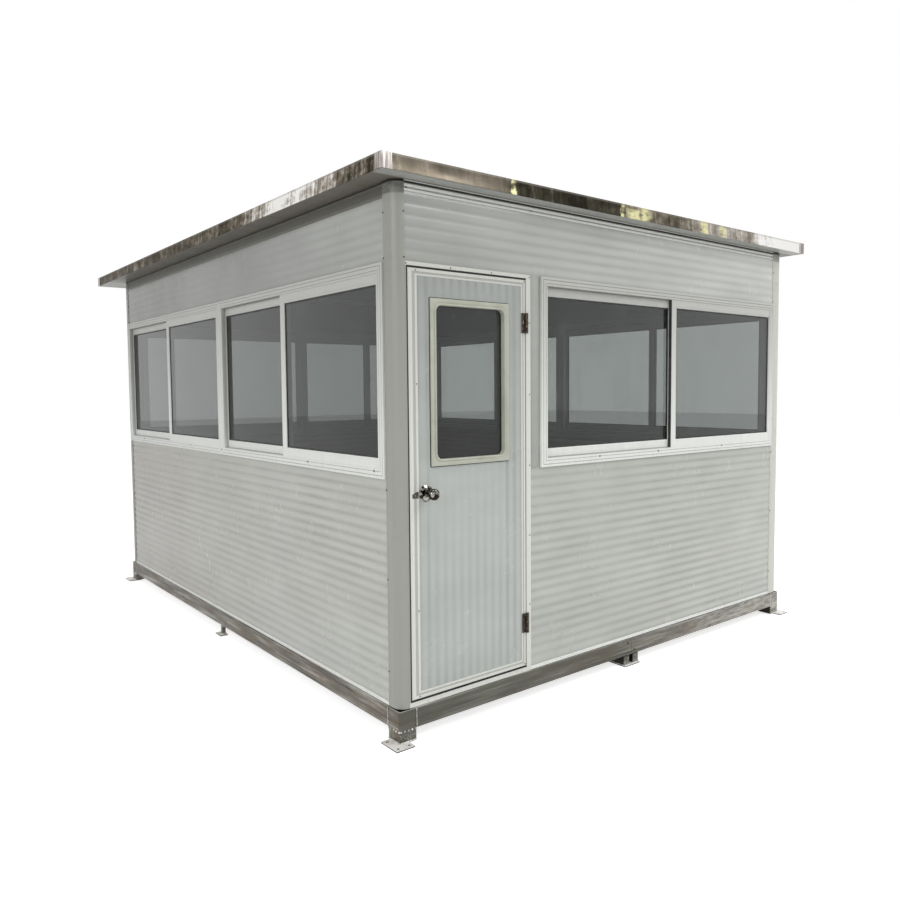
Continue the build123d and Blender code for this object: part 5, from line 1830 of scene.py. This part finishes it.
# --- roof ----------------------------------------------------------------
@dataclass
class Roof(Assembly):
    """Insulated roof panels inside a polished folded fascia."""

    wave: float = 0.9 * MM
    wave_step: float = 45 * MM
    seam: float = 1.2 * MM
    seam_inset: float = 4 * MM
    screw_count: int = 12
    screw_margin: float = 0.12
    screw_shifts: Pair = (-15 * MM, 15 * MM)
    screw_rise: float = 1.6 * MM
    slip: tuple[Pair, ...] = ((0.6, 6.2), (-0.6, 7.0), (-0.6, 11.0), (0.4, 11.8), (8, 11.8), (8, 6.2))
    bead: tuple[Pair, ...] = ((0.5, 0), (-1.0, 1.0), (-1.0, 5.5), (0.5, 6.5), (9.0, 6.5), (9.0, 0))
    ridge: tuple[Pair, ...] = ((-24, 0), (-22, 1.5), (-7, 1.8), (-4, 4.5), (4, 4.5), (7, 1.8), (22, 1.5), (24, 0))
    folds: tuple[Triple, ...] = (
        (0, 0, 0), (0, 0, 4), (0.7, 0.3, 12), (1, 0.3, 35), (0.5, 0.3, 58), (0, 0, 66), (0, 0, 70))

    def build(self) -> None:
        """Builds the roof."""
        self.bench.soften("roof_gasket", Stock.BLACK, 0.8)
        self.bench.soften("roof_panels", Stock.SOFFIT, 4.0)
        self.slips("wall_head_slips_ends", (Side.FRONT, Side.BACK), Stock.TRIM)
        self.slips("wall_head_slips_sides", (Side.LEFT, Side.RIGHT), Stock.SIDE_TRIM)
        self.sealant()
        self.fascia("fascia_sides", 1, Stock.MIRROR_SIDE)
        self.fascia("fascia_ends", 0, Stock.MIRROR_END)
        self.bench.soften("roof_corner_caps", Stock.COVER, 0.5)
        self.top()

    def slips(self, title: str, sides: Sequence[Side], stock: Stock) -> None:
        """Puts slips between the top channels of two walls and the roof.

        Args:
            title: The piece's name.
            sides: The walls.
            stock: Its finish.
        """
        shape = Shape()
        for wall, box in self.bench.straight("top_channels", sides):
            shape.place = wall.matrix
            shape.bar(drawn(box.low.y, box.high.z, *self.slip), Run.ALONG, box.low.x, box.high.x)
        self.bench.settle(title, shape, stock)

    def sealant(self) -> None:
        """Runs a thin bead of black sealant over the walls."""
        posts, start = self.bench.extent("corner_posts"), self.bench.extent("roof_gasket").low.z
        size, middle = posts.size, posts.centre
        rows = []
        for inset, z in self.bead:
            outline = rounded(size.x - 2 * inset * MM, size.y - 2 * inset * MM, (50 - inset) * MM, 10)
            rows.append([(middle.x + a, middle.y + b, start + z * MM) for a, b in outline])
        self.bench.settle("wall_head_sealant", Shape().loops(rows, wrap=True), Stock.GAP, crease=60)

    def fascia(self, node: str, axis: int, stock: Stock) -> None:
        """Replaces fascia strips with sheets that wave a little along their length.

        Args:
            node: The node.
            axis: 0 for strips along x, 1 for strips along y.
            stock: Their finish.
        """
        shape, side = Shape(), 1 - axis
        for box in self.bench.solids(node):
            outward = -1.0 if box.centre[side] < 0 else 1.0
            face, inner = (box.low, box.high) if outward < 0 else (box.high, box.low)
            count = int(box.size[axis] / self.wave_step)
            rows = []
            for k in range(count + 1):
                s = box.low[axis] + box.size[axis] * k / count
                lean = self.wave * (0.5 + 0.5 * math.sin(9.1 * s + 2.0 * math.sin(3.7 * s)))
                outline = [(face[side] - outward * (lean * share + more * MM), z * MM) for share, more, z in self.folds]
                outline += [(inner[side], 70 * MM), (inner[side], 0.0)]
                points = [(other, min(box.low.z + z, box.high.z)) for other, z in outline]
                rows.append([(s, other, z) if axis == 0 else (other, s, z) for other, z in points])
            shape.loops(rows)
        self.bench.replace(node, shape, stock, crease=25)

    def top(self) -> None:
        """Replaces the top sheet with one whose joints have raised seams, screwed down."""
        box = self.bench.extent("roof_top_sheet")
        z = box.high.z - self.seam
        self.bench.replace("roof_top_sheet", Shape().block(box.low, (box.high.x, box.high.y, z)), Stock.TOP)
        panels = sorted(self.bench.solids("roof_panels"), key=lambda b: b.low.y)
        seams, places, margin = Shape(), [], self.screw_margin
        for near, far in zip(panels, panels[1:]):
            y = (near.high.y + far.low.y) / 2
            seams.bar(drawn(y, z, *self.ridge), Run.ALONG, box.low.x + self.seam_inset, box.high.x - self.seam_inset)
            for k in range(self.screw_count):
                x = box.low.x + margin + (box.size.x - 2 * margin) * k / (self.screw_count - 1)
                places += [((x, y + shift, z + self.screw_rise), (0, 0, 1)) for shift in self.screw_shifts]
        self.bench.settle("roof_seams", seams, Stock.TOP)
        self.bench.screws("roof_seam_screws", places, 4.2)


# --- studio --------------------------------------------------------------
@dataclass
class Studio:
    """Floor, soft lamps, white surround and the camera."""

    corner: Vector
    lens: float = 30.84
    stand: Triple = (-1.9148, -2.8287, 1.6112)
    heading: float = 38.4736
    pitch: float = -3.4233
    roll: float = -0.4687
    shift: Pair = (-0.0056, -0.01543)
    half: float = 40.0
    lamps: tuple[tuple[str, Triple, Triple, float, float], ...] = (
        ("overhead", (0.0, -0.6, 6.5), (0.0, 0.0, 0.0), 6.0, 380.0),
        ("front", (2.8, -7.5, 6.8), (0.8, 0.0, 1.0), 4.0, 250.0),
        ("left", (-7.0, -4.0, 4.0), (-1.6, -0.8, 1.0), 4.0, 130.0))

    def build(self) -> None:
        """Builds the studio."""
        self.floor()
        self.surround()
        for lamp in self.lamps:
            self.lamp(*lamp)
        self.camera()
        bpy.context.scene.view_settings.view_transform = "Standard"

    def floor(self) -> None:
        """Lays the pale floor."""
        far = self.half
        mesh = Shape().block((-far, -far, -20 * MM), (far, far, 0)).mesh("floor")
        material = bpy.data.materials.new("pale_floor")
        graph = Graph.of(material)
        tone = graph.blend(graph.noise(0.7, 2.0), (0.80, 0.80, 0.80), (0.83, 0.83, 0.83))
        paint = graph.out("ShaderNodeBsdfDiffuse", {0: tone})
        seen = graph.add("ShaderNodeLightPath").outputs["Is Camera Ray"]
        strength = graph.span(seen, 0.0, 1.0, 0.42, 0.74)
        glow = graph.out("ShaderNodeEmission", {"Color": (1, 1, 1, 1), "Strength": strength})
        both = graph.out("ShaderNodeAddShader", {0: paint, 1: glow})
        shown = graph.out("ShaderNodeMixShader", {0: graph.direct(), 1: paint, 2: both})
        graph.add("ShaderNodeOutputMaterial", {0: shown})
        mesh.materials.append(material)
        linked("floor", mesh)

    def surround(self) -> None:
        """Sets a white surround that lights the booth softly."""
        world = bpy.data.worlds.new("surround")
        bpy.context.scene.world = world
        graph = Graph.of(world)
        strength = graph.span(graph.direct(), 0.0, 1.0, 0.42, 1.0)
        back = graph.out("ShaderNodeBackground", {"Color": (1, 1, 1, 1), "Strength": strength})
        graph.add("ShaderNodeOutputWorld", {0: back})

    def lamp(self, title: str, place: Triple, target: Triple, size: float, power: float) -> None:
        """Hangs one soft lamp.

        Args:
            title: Its name.
            place: Where it hangs.
            target: Where it points.
            size: Side of its square face.
            power: Its power in watts.
        """
        data = bpy.data.lights.new(title, "AREA")
        data.size, data.energy = size, power
        lamp = linked(title, data)
        lamp.location = place
        lamp.rotation_euler = (Vector(target) - Vector(place)).to_track_quat("-Z", "Y").to_euler()

    def camera(self) -> None:
        """Sets the camera."""
        data = bpy.data.cameras.new("camera")
        data.sensor_width, data.lens = 36.0, self.lens
        data.shift_x, data.shift_y = self.shift
        turn, tip, roll = (math.radians(a) for a in (self.heading, self.pitch, self.roll))
        ahead = Vector((math.sin(turn) * math.cos(tip), math.cos(turn) * math.cos(tip), math.sin(tip)))
        right = Vector((math.cos(turn), -math.sin(turn), 0.0))
        right = right * math.cos(roll) + right.cross(ahead) * math.sin(roll)
        camera = linked("camera", data)
        camera.matrix_world = framed(right, right.cross(ahead), -ahead, self.corner + Vector(self.stand))
        bpy.context.scene.camera = camera


def main() -> None:
    """Builds the booth and its studio."""
    logging.basicConfig(level=logging.INFO, format="%(name)s: %(message)s")
    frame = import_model()
    bench = Bench(frame)
    for part in (BaseFrame, CornerPosts, WallPanels, SlidingWindows, DoorFrame, DoorLeaf, DoorHardware, Roof):
        LOG.info("building %s", part.__name__)
        part(bench).build()
    for head in bench.heads:
        bpy.data.objects.remove(head)
    Studio(bench.front.origin).build()


if __name__ == "__main__":
    main()
